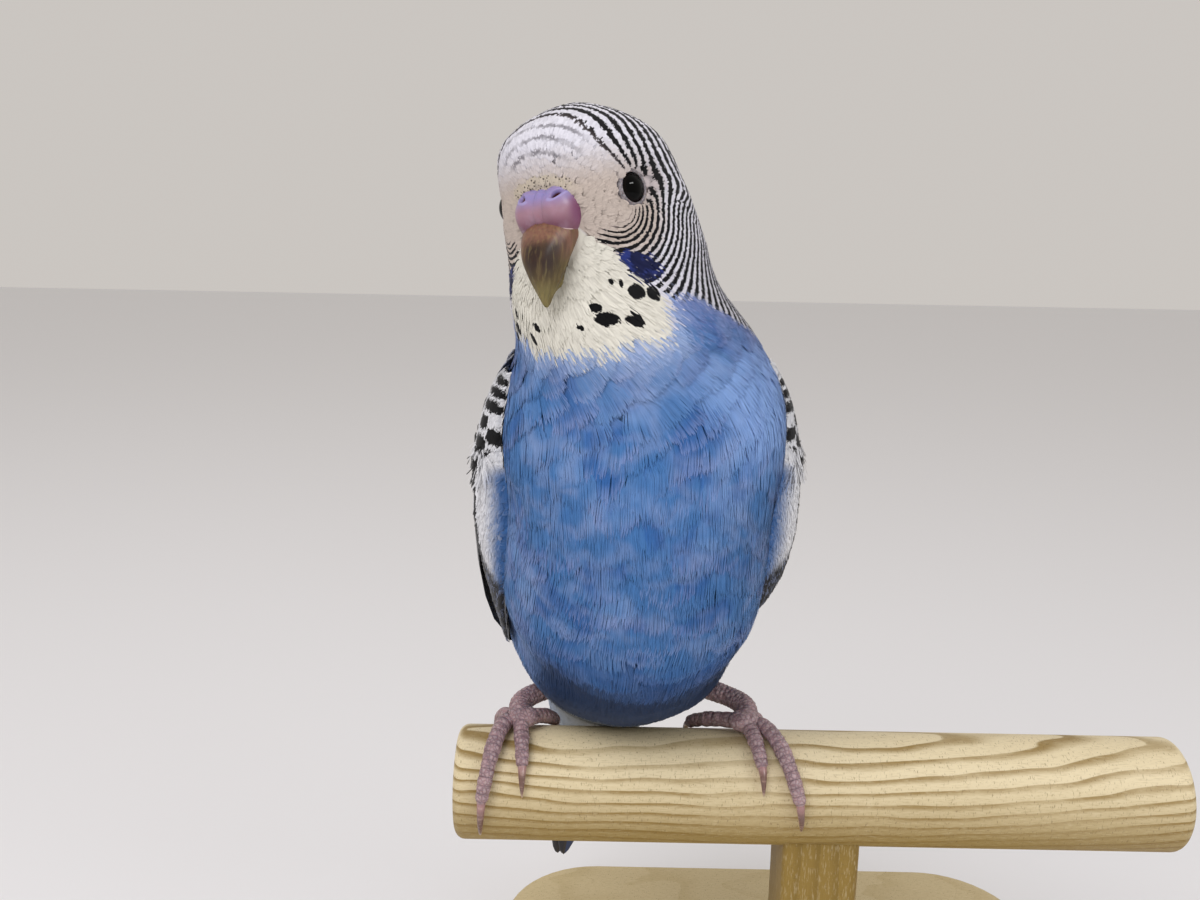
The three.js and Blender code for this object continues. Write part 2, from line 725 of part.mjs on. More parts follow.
// Head, with the eyes and the bill let into it
const upperBill = billStretch(UPPER_BILL).subtract(makeCere(GAP));
const lowerBill = billStretch(LOWER_BILL).subtract(billStretch(UPPER_BILL, GAP)).subtract(makeCere(GAP));
const billRoom = [billStretch(UPPER_BILL, GAP), billStretch(LOWER_BILL, GAP), makeCere(GAP)];
const head = [...eyes.map(socketOf), ...billRoom].reduce((left, cut) => left.subtract(cut), bodyStretch(HEAD_SPAN));
add("head", head, COLOURS.barred);
add("cere", makeCere().subtract(nostril(1)).subtract(nostril(-1)), COLOURS.cere, 0.45);
add("upper_mandible", upperBill, COLOURS.horn, 0.4);
add("lower_mandible", lowerBill, COLOURS.horn, 0.4);
for (const eye of eyes) {
  const name = eye.side > 0 ? "left" : "right";
  add("eye_" + name, makeEye(eye), COLOURS.eye, 0.1);
  add("eyelid_" + name, makeLid(eye), COLOURS.lid, 0.6);
}

// Neck, torso and tail
const torso = bodyStretch(TORSO_SPAN);
const torsoRoom = bodyStretch([TORSO_SPAN[0], TORSO_SPAN[1] + 0.3, TORSO_SPAN[2]], GAP);
const perchRoom = makePerch(GAP);
add("neck", bodyStretch(NECK_SPAN), COLOURS.white);
add("torso", torso.subtract(perchRoom), COLOURS.blue);
add("tail", makeTail(), COLOURS.dark);

// Wings
add("wing_left", makeWing(1).subtract(torsoRoom), COLOURS.dark);
add("wing_right", makeWing(-1).subtract(torsoRoom), COLOURS.dark);

// Legs
for (const leg of LEGS) {
  const thigh = makeThigh(leg).subtract(torsoRoom).subtract(perchRoom);
  const thighRoom = makeThigh({ ...leg, ankle: [leg.ankle[0], leg.ankle[1], leg.ankle[2] - GAP] });
  const tarsus = makeTarsus(leg).subtract(torsoRoom).subtract(thighRoom).subtract(perchRoom);
  const tarsusRoom = makeTarsus(leg, GAP);
  add("thigh_" + leg.name, thigh, COLOURS.blue);
  add("tarsus_" + leg.name, tarsus, COLOURS.leg, 0.6);
  for (const toe of TOES) {
    const digit = makeToe(leg, toe).subtract(tarsusRoom);
    add(toe.name + "_toe_" + leg.name, digit, COLOURS.leg, 0.6);
    add(toe.name + "_claw_" + leg.name, makeClaw(leg, toe).subtract(makeToe(leg, toe, GAP)), COLOURS.claw, 0.4);
  }
}

export default bird;
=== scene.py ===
"""A budgerigar on a dowel: its skin, coat, wings, tail, bill, eyes, feet and the wood of its stand,
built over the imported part. Lengths are millimetres from the dowel's axis under the bird, and turn
into metres in the part's frame at the end."""

import math

import bpy
import numpy as np
from mathutils import Matrix, Vector

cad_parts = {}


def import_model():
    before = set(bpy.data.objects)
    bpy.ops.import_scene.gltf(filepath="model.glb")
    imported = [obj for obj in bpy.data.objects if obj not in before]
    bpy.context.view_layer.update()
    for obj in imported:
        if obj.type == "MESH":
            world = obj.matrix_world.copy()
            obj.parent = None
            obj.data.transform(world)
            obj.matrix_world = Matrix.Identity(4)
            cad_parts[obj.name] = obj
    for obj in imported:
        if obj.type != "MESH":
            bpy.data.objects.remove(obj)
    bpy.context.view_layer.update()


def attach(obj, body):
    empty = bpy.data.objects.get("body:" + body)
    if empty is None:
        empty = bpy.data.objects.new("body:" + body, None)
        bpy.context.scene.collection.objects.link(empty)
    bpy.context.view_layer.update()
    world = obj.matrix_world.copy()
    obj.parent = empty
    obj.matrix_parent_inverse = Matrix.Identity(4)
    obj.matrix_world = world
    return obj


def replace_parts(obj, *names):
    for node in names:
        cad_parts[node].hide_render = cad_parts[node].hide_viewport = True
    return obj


MM = 0.001
BIRD_AT = np.array([-33.0, -19.0, 70.0])  # the dowel's axis under the bird, in the part's frame
SEED = 20
GAP = 0.3  # air between neighbouring forms

# Body sections from the crown to the tail: front y, z; back y, z; half width; widest place
BODY = np.array(
    [
        [-10.4, 105.4, -10.4, 105.4, 0, 0.5],  # crown
        [-22, 101.2, 0.4, 101, 10, 0.55],  # brow
        [-22.8, 93.4, 5.4, 93, 12.7, 0.58],  # eyes
        [-21.4, 84, 8.4, 85.5, 14, 0.56],  # cheeks
        [-23, 75.5, 10.6, 79.3, 15.1, 0.52],  # throat
        [-23.2, 67.8, 14.2, 73.6, 18.3, 0.5],  # neck
        [-24, 60.5, 16.4, 68.2, 21, 0.5],  # shoulders
        [-24.6, 52.5, 18.9, 62, 21.5, 0.5],  # breast
        [-24.2, 43.5, 21.8, 55, 20.2, 0.5],
        [-21.8, 34, 25, 47.2, 20.5, 0.5],  # belly
        [-17.6, 25, 28.3, 39, 20.4, 0.5],
        [-11, 16.5, 31.4, 31.5, 19.2, 0.48],  # thighs
        [-1.5, 10.4, 34.5, 24, 16.4, 0.46],
        [11, 4.6, 37.6, 16.5, 12.6, 0.48],  # vent
        [24, -4, 42.8, 4, 9.2, 0.55],  # rump
        [36, -16.5, 49.2, -11.5, 6.6, 0.6],  # tail root
        [44, -29, 54.6, -24.5, 6, 0.6],
    ]
)
BEYOND_CROWN = BODY[1][[2, 3, 0, 1, 4, 5]] * [1, 1, 1, 1, -1, -1] + [0, 0, 0, 0, 0, 1]
BODY_ROWS = np.vstack([BEYOND_CROWN, BODY, BODY[-1]])
SKIN_STARTS, TAIL_STARTS = 0.03, 15.2  # the sections where the skin begins and ends
NECK_PIVOT = np.array([0, 2, 74.0])
HEAD_LEAN, HEAD_TURN = -8.9, -36  # degrees
BODY_TURN, BODY_SHIFT = 9, 0.4
TURN_STARTS, TURN_ENDS = 6.2, 3.2  # the sections between which the neck turns
FACE = np.array([0, -23.5, 88.5])  # where the feathers of the head grow away from

# Eye: where it sits on the head, its axis, the ball and its opening
EYE_SECTION, EYE_ANGLE = 2.05, 55
EYE_AXIS_ANGLE, EYE_AXIS_RISE = 70, 4
EYE_RADIUS, EYE_SINK, EYE_OPENING = 2.6, 2.35, 2.4

# Dowel, rod and base
PERCH_RADIUS, PERCH_LEFT, PERCH_LENGTH, PERCH_EDGE = 9, -27.4, 116, 1.6
ROD_SIDE, ROD_X, ROD_BELOW = 12.2, 31, 6.4  # the rod stops short of the dowel's axis
BASE_SIZE, BASE_CORNER, BASE_CENTRE = (114, 110, 10), 20, (33, 19)
FLOOR_DROP = 70

# Camera, measured from the photo: place, pitch down, roll, focal length and width in pixels
CAMERA_AT = np.array([-5.4, -172.1, 90.9])
CAMERA_PITCH, CAMERA_ROLL, CAMERA_FOCUS, IMAGE_WIDTH = 11.7, 1.1, 1150, 1200


def smooth(x, low, high):
    t = np.clip((np.asarray(x, float) - low) / (high - low), 0, 1)
    return t * t * (3 - 2 * t)


def mix(a, b, t):
    return a + (b - a) * t


def unit(v):
    return v / np.maximum(np.linalg.norm(v, axis=-1, keepdims=True), 1e-12)


def dot(a, b):
    return (a * b).sum(-1, keepdims=True)


def flattened(v, normal):
    """The part of v that lies square to normal."""
    return v - dot(v, normal) * normal


def circle(count):
    """Angles once round, in equal steps."""
    return np.linspace(0, 2 * np.pi, count, endpoint=False)


def signed(degrees):
    """An angle round from the front, as one from -180 to 180."""
    return (degrees + 180) % 360 - 180


def turn(points, axis, degrees):
    """Points turned about axis 1 (y) or 2 (z) by an angle each."""
    c, s = np.cos(np.radians(degrees)), np.sin(np.radians(degrees))
    x, y, z = points[..., 0], points[..., 1], points[..., 2]
    if axis == 2:
        return np.stack([x * c - y * s, x * s + y * c, z], -1)
    return np.stack([x * c + z * s, y, -x * s + z * c], -1)


def rows_near(table, k):
    """How far each place k lies between two rows, with these rows and the ones round them."""
    i = np.clip(np.floor(k).astype(int), 0, len(table) - 4)
    return (k - i)[..., None], [table[i + n] for n in range(4)]


def through(table, k):
    """A smooth curve through the rows of a table that has a row more at either end, at places k."""
    t, (before, start, end, after) = rows_near(table, k)
    curve = (2 * start - 2 * end + (end - before) / 2 + (after - start) / 2) * t**3
    bend = (3 * (end - start) - (end - before) - (after - start) / 2) * t**2
    return curve + bend + (end - before) / 2 * t + start


def section(k):
    """The body's section at place k of its table."""
    k = np.asarray(k, float)
    value = through(BODY_ROWS, k)
    t, (_, start, end, _) = rows_near(BODY_ROWS, k)
    value[..., 5] = mix(start, end, t)[..., 5]
    return value


def section_point(row, degrees, out=0.0):
    """A point of a section at an angle round from the front, raised by out."""
    angle = np.radians(degrees)
    front, back, half, middle = row[..., 0:2], row[..., 2:4], row[..., 4], row[..., 5]
    centre = mix(front, back, middle[..., None])
    end = np.where((np.cos(angle) > 0)[..., None], front, back)
    span = np.linalg.norm(end - centre, axis=-1)
    reach = np.abs(np.cos(angle)) * (1 + out / np.maximum(span, 1e-9)) * (span > 1e-9)
    across = (half + out) * np.sin(angle)
    return np.concatenate([across[..., None], centre + (end - centre) * reach[..., None]], -1)


def posed(points, share):
    """Points turned with the body, and with the head by its share of the head's turn."""
    share = np.asarray(share, float)
    points = turn(points - NECK_PIVOT, 1, HEAD_LEAN * share)
    points = turn(points, 2, HEAD_TURN * share) + NECK_PIVOT
    return turn(points, 2, BODY_TURN) + [BODY_SHIFT, 0, 0]


def in_head(points):
    return posed(points, np.ones(points.shape[:-1]))


def body_point(k, degrees, out=0.0):
    k = np.asarray(k, float)
    return posed(section_point(section(k), degrees, out), 1 - smooth(k, TURN_ENDS, TURN_STARTS))


def world(points):
    return (points + BIRD_AT) * MM


class Pile:
    """Points, faces and named values of many small forms, joined in one mesh."""

    def __init__(self):
        self.points, self.faces, self.values, self.normals, self.count = [], [], [], [], 0

    def add(self, points, faces, **values):
        points = np.asarray(points, float).reshape(-1, 3)
        self.points.append(points)
        self.faces += [np.asarray(group) + self.count for group in faces]
        filled = {n: np.broadcast_to(v, (len(points),) + np.shape(v)[1:]) for n, v in values.items()}
        self.values.append(filled)
        self.count += len(points)

    def build(self, name, material, slot):
        """The pile as an object that rides on the part, with its values as attributes."""
        mesh = bpy.data.meshes.new(name)
        points = world(np.concatenate(self.points))
        mesh.vertices.add(len(points))
        mesh.vertices.foreach_set("co", points.ravel())
        sizes = np.concatenate([np.full(len(f), f.shape[1]) for f in self.faces])
        corners = np.concatenate([f.ravel() for f in self.faces])
        mesh.loops.add(len(corners))
        mesh.loops.foreach_set("vertex_index", corners)
        mesh.polygons.add(len(sizes))
        mesh.polygons.foreach_set("loop_start", np.concatenate([[0], np.cumsum(sizes)[:-1]]))
        mesh.polygons.foreach_set("loop_total", sizes)
        mesh.update(calc_edges=True)
        mesh.polygons.foreach_set("use_smooth", np.ones(len(sizes), bool))
        for key in self.values[0]:
            value = np.concatenate([v[key] for v in self.values])
            if key == "uv":
                mesh.uv_layers.new(name="OFBake").data.foreach_set("uv", value[corners].ravel())
            else:
                layer = mesh.attributes.new(key, "FLOAT", "POINT")
                layer.data.foreach_set("value", value.astype(np.float32).ravel())
        if self.normals:
            own = np.empty(len(points) * 3, np.float32)
            mesh.vertices.foreach_get("normal", own)
            own = own.reshape(-1, 3)
            given = np.concatenate([leaf for leaf, _ in self.normals])
            own = own * np.sign(dot(own, given) + 1e-9)
            mesh.normals_split_custom_set_from_vertices(unit(mix(own, given, self.normals[0][1])))
        mesh.materials.append(material)
        obj = bpy.data.objects.new(name, mesh)
        bpy.context.scene.collection.objects.link(obj)
        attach(obj, "root")
        return obj


def grid_faces(rows, columns):
    """Quads of a grid of rows by columns, joined round along each row."""
    i, j = np.meshgrid(np.arange(rows - 1), np.arange(columns), indexing="ij")
    after = (j + 1) % columns
    quads = [i * columns + j, i * columns + after, (i + 1) * columns + after, (i + 1) * columns + j]
    return np.stack(quads, -1).reshape(-1, 4)


def closed_faces(rows, columns):
    """Faces of such a grid, closed at either end by a point. The two points follow the grid's."""
    last = rows * columns
    j = np.arange(columns)
    after, pole = (j + 1) % columns, np.full(columns, last)
    start = np.stack([after, j, pole], -1)
    end = np.stack([last - columns + j, last - columns + after, pole + 1], -1)
    return [grid_faces(rows, columns), start, end]


# The skin

SKIN_ROWS, SKIN_COLUMNS = 250, 180


def coat_depth(k):
    """How far the tips of the coat stand off the skin."""
    depth = mix(0.5, 0.9, smooth(k, 3, 5))
    return mix(mix(depth, 1.4, smooth(k, 5, 7)), 0.8, smooth(k, 13, 15))


def skin_depth(k, degrees):
    """How far the skin lies inside the body: the coat's depth, and more where the belly draws in
    between the thighs."""
    side = np.abs(signed(degrees))
    tuck = smooth(k, 9.8, 10.8) * smooth(-k, -13.4, -12) * smooth(-side, -100, -75)
    return coat_depth(k) + tuck * mix(0.9, 1.7 - smooth(k, 10.5, 11.3), smooth(side, 15, 45))


def skin_point(k, degrees):
    return body_point(k, degrees, -skin_depth(k, degrees))


def skin_local(k, degrees):
    """A place on the skin before the head is turned."""
    return section_point(section(k), degrees, -skin_depth(k, degrees))


def skin_frame(k, degrees):
    """Place, normal and the steps along k and the angle, at places on the skin."""
    step = 1e-3
    k = np.maximum(k, SKIN_STARTS)
    along = (skin_point(k + step, degrees) - skin_point(k - step, degrees)) / (2 * step)
    around = skin_point(k, degrees + 0.5) - skin_point(k, degrees - 0.5)
    return skin_point(k, degrees), unit(np.cross(along, around)), along, around


def unwrap(k, degrees):
    """The skin's own unwrap: round the body across, and along it upwards."""
    return np.stack([(degrees % 360) / 360, np.asarray(k) / TAIL_STARTS], -1) * 0.98 + 0.01


def skin_grid():
    k = np.linspace(SKIN_STARTS, TAIL_STARTS, SKIN_ROWS)
    degrees = np.linspace(-180, 180, SKIN_COLUMNS, endpoint=False)
    k, degrees = np.meshgrid(k, degrees, indexing="ij")
    place, normal, _, _ = skin_frame(k, degrees)
    return {"place": place, "normal": normal, "local": skin_local(k, degrees), "k": k, "a": degrees}


SKIN = skin_grid()


def skin_sample(k, degrees):
    """Place, normal and unturned place on the skin's grid, between its points."""
    row = np.clip((k - SKIN_STARTS) / (TAIL_STARTS - SKIN_STARTS), 0, 1) * (SKIN_ROWS - 1)
    column = ((degrees + 180) % 360) / 360 * SKIN_COLUMNS
    i = np.minimum(row.astype(int), SKIN_ROWS - 2)
    j = column.astype(int) % SKIN_COLUMNS
    after = (j + 1) % SKIN_COLUMNS
    down, over = (row - i)[..., None], (column - column.astype(int))[..., None]
    grids = [SKIN[name] for name in ("place", "normal", "local")]
    return [mix(*(mix(grid[n, j], grid[n, after], over) for n in (i, i + 1)), down) for grid in grids]


def folded(local):
    """Places on the bird's left side that answer to places on either side."""
    return np.concatenate([np.abs(local[..., :1]), local[..., 1:]], -1)


def eye_place(side):
    """The centre of an eyeball and the way it looks, before the head is turned."""
    flat, rise = np.radians(EYE_AXIS_ANGLE), np.radians(EYE_AXIS_RISE)
    ahead = np.cos(rise)
    axis = np.array([side * np.sin(flat) * ahead, -np.cos(flat) * ahead, np.sin(rise)])
    surface = section_point(section(np.array([EYE_SECTION])), np.array([side * EYE_ANGLE]))[0]
    return surface - EYE_SINK * axis, axis


def gap_to_eye(local):
    """Distance from the nearer eye's axis."""
    centre, axis = eye_place(1)
    return np.linalg.norm(flattened(folded(local) - centre, axis), axis=-1)


def lie(k, place, normal, along):
    """The way feathers point: away from the bill on the head, round the eyes, and down the body."""
    way = mix(unit(place - in_head(FACE[None])), unit(along), smooth(k, 2.4, 5.2)[:, None])
    for side in (-1, 1):
        centre, axis = eye_place(side)
        axis = in_head((centre + axis)[None]) - in_head(centre[None])
        out = flattened(place - in_head(centre[None]), axis)
        near = smooth(-np.linalg.norm(out, axis=-1, keepdims=True), -5.2, -3.2)
        inward = np.minimum(dot(way, unit(out)), 0)
        way = way - near * (inward - 0.25) * unit(out)
    return unit(flattened(way, normal))


def rooted(k, a, ahead, normal, steps, uv):
    """Roots of tufts: two coordinates, and how these change ahead of the roots and beside them.
    steps are the surface's steps along either coordinate."""
    inverse = np.linalg.pinv(np.stack(steps, -1))
    roots = {"k": k, "a": a, "ahead": ahead, "uv": uv}
    for name, way in (("ahead", ahead), ("across", np.cross(normal, ahead))):
        roots["k_" + name] = (inverse[:, 0] * way).sum(-1)
        roots["a_" + name] = (inverse[:, 1] * way).sum(-1)
    return roots


def roots_at(k, degrees):
    """Roots on the skin."""
    place, normal, *steps = skin_frame(k, degrees)
    return rooted(k, degrees, lie(k, place, normal, steps[0]), normal, steps, unwrap(k, degrees))


def moved(roots, ahead, across):
    """The roots' coordinates, and what to add to them ahead of the roots and beside them."""
    spread = {key: value[:, None, None] for key, value in roots.items()}
    added = [spread[c + "_ahead"] * ahead + spread[c + "_across"] * across for c in "ka"]
    return spread["k"], spread["a"], *added


def over_skin(roots, ahead, across):
    """Section and angle of places ahead of the roots and beside them, straight over the crown."""
    k, degrees, down, over = moved(roots, ahead, across)
    x, y = k + down, np.radians(over) * k
    return np.hypot(x, y), np.degrees(np.radians(degrees) + np.arctan2(y, x))


def scatter(spacing, inside, tries, rng):
    """Places on the skin, drawn at random and no nearer to each other than spacing."""
    p = SKIN["place"]
    area = np.linalg.norm(np.cross(p[1:] - p[:-1], np.roll(p, -1, 1)[:-1] - p[:-1]), axis=-1)
    cells = rng.choice(area.size, tries, p=(area / area.sum()).ravel())
    row, column = np.divmod(cells, SKIN_COLUMNS)
    row_step = (TAIL_STARTS - SKIN_STARTS) / (SKIN_ROWS - 1)
    k = SKIN_STARTS + (row + rng.random(tries)) * row_step
    degrees = -180 + (column + rng.random(tries)) * 360 / SKIN_COLUMNS
    keep = inside(k, degrees)
    k, degrees = k[keep], degrees[keep]
    places, gaps = skin_point(k, degrees), spacing(k, degrees)
    cell = gaps.max()
    beside = [(dx, dy, dz) for dx in (-1, 0, 1) for dy in (-1, 0, 1) for dz in (-1, 0, 1)]
    taken, chosen = {}, []
    for i, (x, y, z) in enumerate(places.tolist()):
        at = (int(x // cell), int(y // cell), int(z // cell))
        limit = gaps[i] ** 2
        near = (q for d in beside for q in taken.get((at[0] + d[0], at[1] + d[1], at[2] + d[2]), ()))
        if all((x - q[0]) ** 2 + (y - q[1]) ** 2 + (z - q[2]) ** 2 > limit for q in near):
            taken.setdefault(at, []).append((x, y, z))
            chosen.append(i)
    return k[chosen], degrees[chosen]


# Markings, the same on the skin and on the coat

# The crown's bars are counted outwards from a line between the forehead and the lores, the
# cheek's from a place under the eye. They run into the eye: near it they are taken from further out.
BAR_LINE = np.array([[0, -18.3, 97], [5.3, -16.5, 89.3]])
CHEEK_CENTRE, CHEEK_FORE = np.array([8.6, -17.9, 90.0]), unit(np.array([-0.55, -0.8, 0.25]))
BAR_EYE, CROWN_DRAWN, CHEEK_DRAWN = np.array([10.1, -15.3, 91.8]), 6.0, 1.5
CROWN_PERIOD, CHEEK_PERIOD, CHEEK_FIRST = 1.12, 0.95, 0.9
CHEEK_TOP, TOP_FALLS = 92.2, 0.25  # where the cheek's bars meet the crown's, falling backwards
BACK_STARTS, BACK_GROWTH = 26, 0.03  # the bar from which they widen down the nape, and how fast
LORES_AT = np.array([7.0, -19.4, 91.3])  # the bare-looking skin before the eye
BLUE_EDGE = (
    [0, 36, 45, 54, 62, 72, 86, 100, 115, 135, 180],  # angle round from the breast
    [4.2, 4.15, 3.9, 3.6, 3.6, 3.85, 4.4, 4.75, 5.3, 8.4, 9.2],  # section
)
MASK_EDGE = (
    [2.42, 2.72, 2.97, 3.35, 3.6, 4.0, 4.4],  # section
    [14, 24, 34, 41, 48, 41, 30],  # angle
)
FOREHEAD, RING_FIRST, RING_PERIOD = np.array([0, -24, 93]), 5.6, 1.75  # grey arcs above the cere
CHEEK_PATCH = ((2.98, 36.8), (3.29, 50.2))  # section and angle of its ends
BEHIND_EYE = np.array([11.3, -13.3, 93.4])
THROAT_MM, DOWN_MM = 0.27, 8.2  # mm for a degree round the throat, and for a section down it
# Throat spots: section, angle, half length across and down
SPOTS = [
    (3.37, 29.2, 0.35, 0.5),
    (3.42, 34, 0.3, 0.45),
    (3.59, 39.8, 1.15, 1.0),
    (3.67, 47.6, 0.9, 0.95),
    (3.72, 16.4, 1.0, 0.6),
    (3.9, 18.6, 1.7, 0.85),
    (4.0, 30, 1.1, 0.75),
    (3.92, 33, 0.5, 1.0),
    (3.97, 3.2, 0.5, 0.4),
    (3.72, -40.2, 0.55, 0.8),
    (3.98, -45, 0.8, 1.0),
    (4.12, -52, 0.5, 1.1),
    (3.93, -23.2, 0.7, 0.65),
    (4.13, -31, 0.45, 0.9),
]


def distance(places, centre, scale=1):
    return np.linalg.norm((places - centre) * scale, axis=-1)


def on_segment(points, start, end):
    """The nearest places on a segment, and how far along it they lie."""
    span = end - start
    t = np.clip(((points - start) @ span) / (span @ span), 0, 1)
    return start + t[..., None] * span, t


def drawn_from_eye(local, reach):
    """Places moved outwards from the eye, so that the eye itself takes in all within reach."""
    from_eye = local - BAR_EYE
    gap = np.linalg.norm(from_eye, axis=-1, keepdims=True)
    return BAR_EYE + from_eye / np.maximum(gap, 1e-6) * np.sqrt(gap**2 + reach**2)


def bar_phase(local):
    """The count of bars from the face outwards."""
    local = folded(local)
    drawn = drawn_from_eye(local, CROWN_DRAWN)
    crown = distance(drawn, on_segment(drawn, *BAR_LINE)[0], [0.86, 1, 1]) / CROWN_PERIOD
    out = drawn_from_eye(local, CHEEK_DRAWN) - CHEEK_CENTRE
    out = distance(out, 0.5 * np.maximum(out @ CHEEK_FORE, 0)[..., None] * CHEEK_FORE)
    cheek = out / CHEEK_PERIOD + 1.8 * smooth(out, 0, 5) + CHEEK_FIRST
    level = CHEEK_TOP - TOP_FALLS * np.maximum(local[..., 1] + 13, 0)
    count = mix(cheek, crown, smooth(local[..., 2] - level, -3, 3))
    beyond = np.maximum(count - BACK_STARTS, 0)
    return np.minimum(count, BACK_STARTS) + np.log1p(BACK_GROWTH * beyond) / BACK_GROWTH


def regions(local, k, degrees):
    """Soft shares of the plumage's areas, and of painted light and shade on the breast and belly, taken at a
    feather's root.
    """
    side, height = np.abs(signed(degrees)), local[..., 2]
    edge = k - np.interp(side, *BLUE_EDGE)
    blue = smooth(edge, -0.06, 0.09)
    mask = (side < np.interp(k, *MASK_EDGE)) & (k > 2.45)
    low = smooth(-side, -75, -45)
    return {
        "blue": blue,
        "barred": np.where(mask | ((k > 3.35) & (side < 53)), 0, 1) * (1 - blue),
        "lilac": blue * np.exp(-edge / 0.45) * smooth(side, 46, 58) * smooth(-side, -125, -100),
        "mask": mask.astype(float),
        "warm": (1 - mask) * smooth(-bar_phase(local), -11, -7) * smooth(-height, -99, -93),
        "fringe": smooth(-distance(local, FACE), -6.9, -6.3) * smooth(height, 92, 94.0),
        "tan": smooth(-distance(folded(local), BEHIND_EYE), -3.2, -0.8),
        # pale: a painted highlight on the upper breast's left side
        "pale": smooth(k, 4.4, 5.0) * smooth(-k, -6.8, -5.6) * smooth(degrees, 10, 40),
        "mist": blue * np.exp(-edge / 0.3) * smooth(-side, -60, -40),
        # deep: the lower breast's and belly's deeper blue, made darker by painted shade of the underside
        "deep": smooth(k, 8.8, 9.8) * low,
        # dark: painted shade on the belly's front towards the dowel, over its deeper blue
        "dark": smooth(k, 9.45, 10.25) * low,
        "vent": np.maximum(smooth(k, 12.6, 13.6), 0.8 * smooth(k, 11.2, 11.7) * smooth(-side, -100, -60)),
    }


def places_marked(local, k, degrees):
    """Marks with sharp edges: the count of bars, and places in mm on the throat's unrolled skin."""
    start, end = (section_point(section(np.array([at])), np.array([a]))[0] for at, a in CHEEK_PATCH)
    mirrored, height = folded(local), local[..., 2]
    nearest, t = on_segment(mirrored, start, end)
    count = bar_phase(local)
    crown = smooth(height, 92, 96)
    clear = mix(smooth(distance(mirrored, LORES_AT), 2.4, 4.4), 1, crown)
    clear = clear * smooth(distance(local, FACE), 6.5, 8.5) * smooth(gap_to_eye(local), 2.3, 3.1)
    ring = distance(local, FOREHEAD, [0.85, 1, 1])
    centred = smooth(-mirrored[..., 0], -7, -4.5)
    return {
        "phase": count,
        "bars": smooth(count, mix(1.4, 4.9, crown), mix(8, 8.3, crown)) * clear,
        "violet": mix(0.6, 1.8, t) + 0.3 * np.sin(np.pi * t) - distance(mirrored, nearest),
        "ring": ring,
        "ringed": smooth(height, 96.4, 97.6) * smooth(-ring, -10.2, -9.2) * centred,
        "throat_x": signed(degrees) * THROAT_MM,
        "throat_y": k * DOWN_MM,
    }


def make_skin(material):
    names = ("k", "a", "place", "normal", "local")
    k, degrees, place, normal, local = (SKIN[n].reshape(-1, *SKIN[n].shape[2:]) for n in names)
    socket = smooth(-gap_to_eye(local), -EYE_OPENING, -2.0)
    place = place - 0.6 * socket[:, None] * normal
    tip, end = skin_point(np.array([1e-4]), np.zeros(1)), SKIN["place"][-1].mean(0)[None]
    values = {**regions(local, k, degrees), **places_marked(local, k, degrees)}
    both = {n: np.concatenate([v, v[:1], v[-1:]]) for n, v in values.items()}
    uv = np.concatenate([unwrap(k, degrees), [[0.5, 0.001]], [[0.5, 0.999]]])
    pile = Pile()
    faces = closed_faces(SKIN_ROWS, SKIN_COLUMNS)
    pile.add(np.concatenate([place, tip, end]), faces, **both, strand=0.0, tip=0.5, tint=0.5, uv=uv)
    skin = pile.build("skin", material, "blue_feather")
    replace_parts(skin, "head", "neck", "torso", "thigh_left", "thigh_right")


# Tufts: each one is a fan of barbs that leave one root, a few rows of points to a barb

BARB_ROWS = np.array([0, 0, 0.3, 0.3, 0.6, 0.6, 0.92, 0.92, 1.0])
BARB_SIDES = np.array([-1, 1, -1, 1, -1, 1, -1, 1, 0.0])
BARB_WIDTHS = ([0, 0.3, 0.92, 1], [0.8, 1.15, 0.9, 0])  # along a barb


def fan(length, width, barbs, rng, fray, hooked, thick):
    """Barbs of flat tufts: how far ahead and across each point lies, and half the tuft's width."""
    n = len(length)
    at = np.linspace(-1, 1, barbs) + rng.normal(0, 0.4 / barbs, (n, barbs))
    reach = 1 - 0.28 * at**2 + rng.normal(0, fray, (n, barbs)).clip(-0.3, 0.3)
    ahead = length[:, None, None] * BARB_ROWS * reach[..., None]
    spread = mix(0.3, 1, smooth(BARB_ROWS, 0, 0.75))
    half = (width / 2)[:, None, None]
    bare = thick * np.interp(BARB_ROWS, *BARB_WIDTHS) * half / barbs * 2
    across = half * at[..., None] * spread + BARB_SIDES * bare
    across = across + rng.normal(0, hooked, (n, barbs, 1)) * ahead * BARB_ROWS
    lean = rng.normal(0, 0.1, (n, 1, 1))
    return ahead - lean * across, across + lean * ahead, half


def tufts(pile, surface, roots, length, width, barbs, depth, rng, fray=0.05, even=0.86, loose=0.012,
          hooked=0.02, thick=1.0):
    """Adds tufts whose tips lie depth above a surface. fray and hooked make the barbs' lengths and
    ways uneven, loose lifts them, thick widens them, and even draws the shading to the surface's."""
    n = len(length)
    ahead, across, half = fan(length, width, barbs, rng, fray, hooked, thick)
    u = BARB_ROWS
    k, degrees = surface["moved"](roots, ahead, across)
    place, normal, local = surface["at"](k, degrees)
    beyond = np.maximum(k - TAIL_STARTS, 0) / np.maximum(roots["k_ahead"], 0.02)[:, None, None]
    place = place + beyond[..., None] * roots["ahead"][:, None, None]
    rise = depth[:, None, None] * (1 - 0.94 * (1 - u) ** 2.2)
    rise = rise + rng.normal(0, loose, (n, barbs, 1)) * length[:, None, None] * u**2
    rise = rise - 0.1 * BARB_SIDES * half / barbs
    points = place + rise[..., None] * normal
    uv = np.stack([across / half * 0.0013, (u - 0.5) * 0.003 + across * 0], -1)
    start = np.arange(n * barbs)[:, None] * len(u)
    quads = np.concatenate([start + 2 * i + [0, 2, 3, 1] for i in range(3)])
    values = {
        "strand": rng.normal(0, 1, (n, barbs, 1)),
        "tip": u,
        "tint": rng.random((n, 1, 1)),
        **surface["marks"](local, k, degrees, rng),
    }
    filled = {name: np.broadcast_to(v, points.shape[:-1]).reshape(-1) for name, v in values.items()}
    uv = (roots["uv"][:, None, None] + uv).reshape(-1, 2)
    pile.add(points, [quads, start + [6, 8, 7]], **filled, uv=uv)
    pile.normals.append((normal.reshape(-1, 3), even))


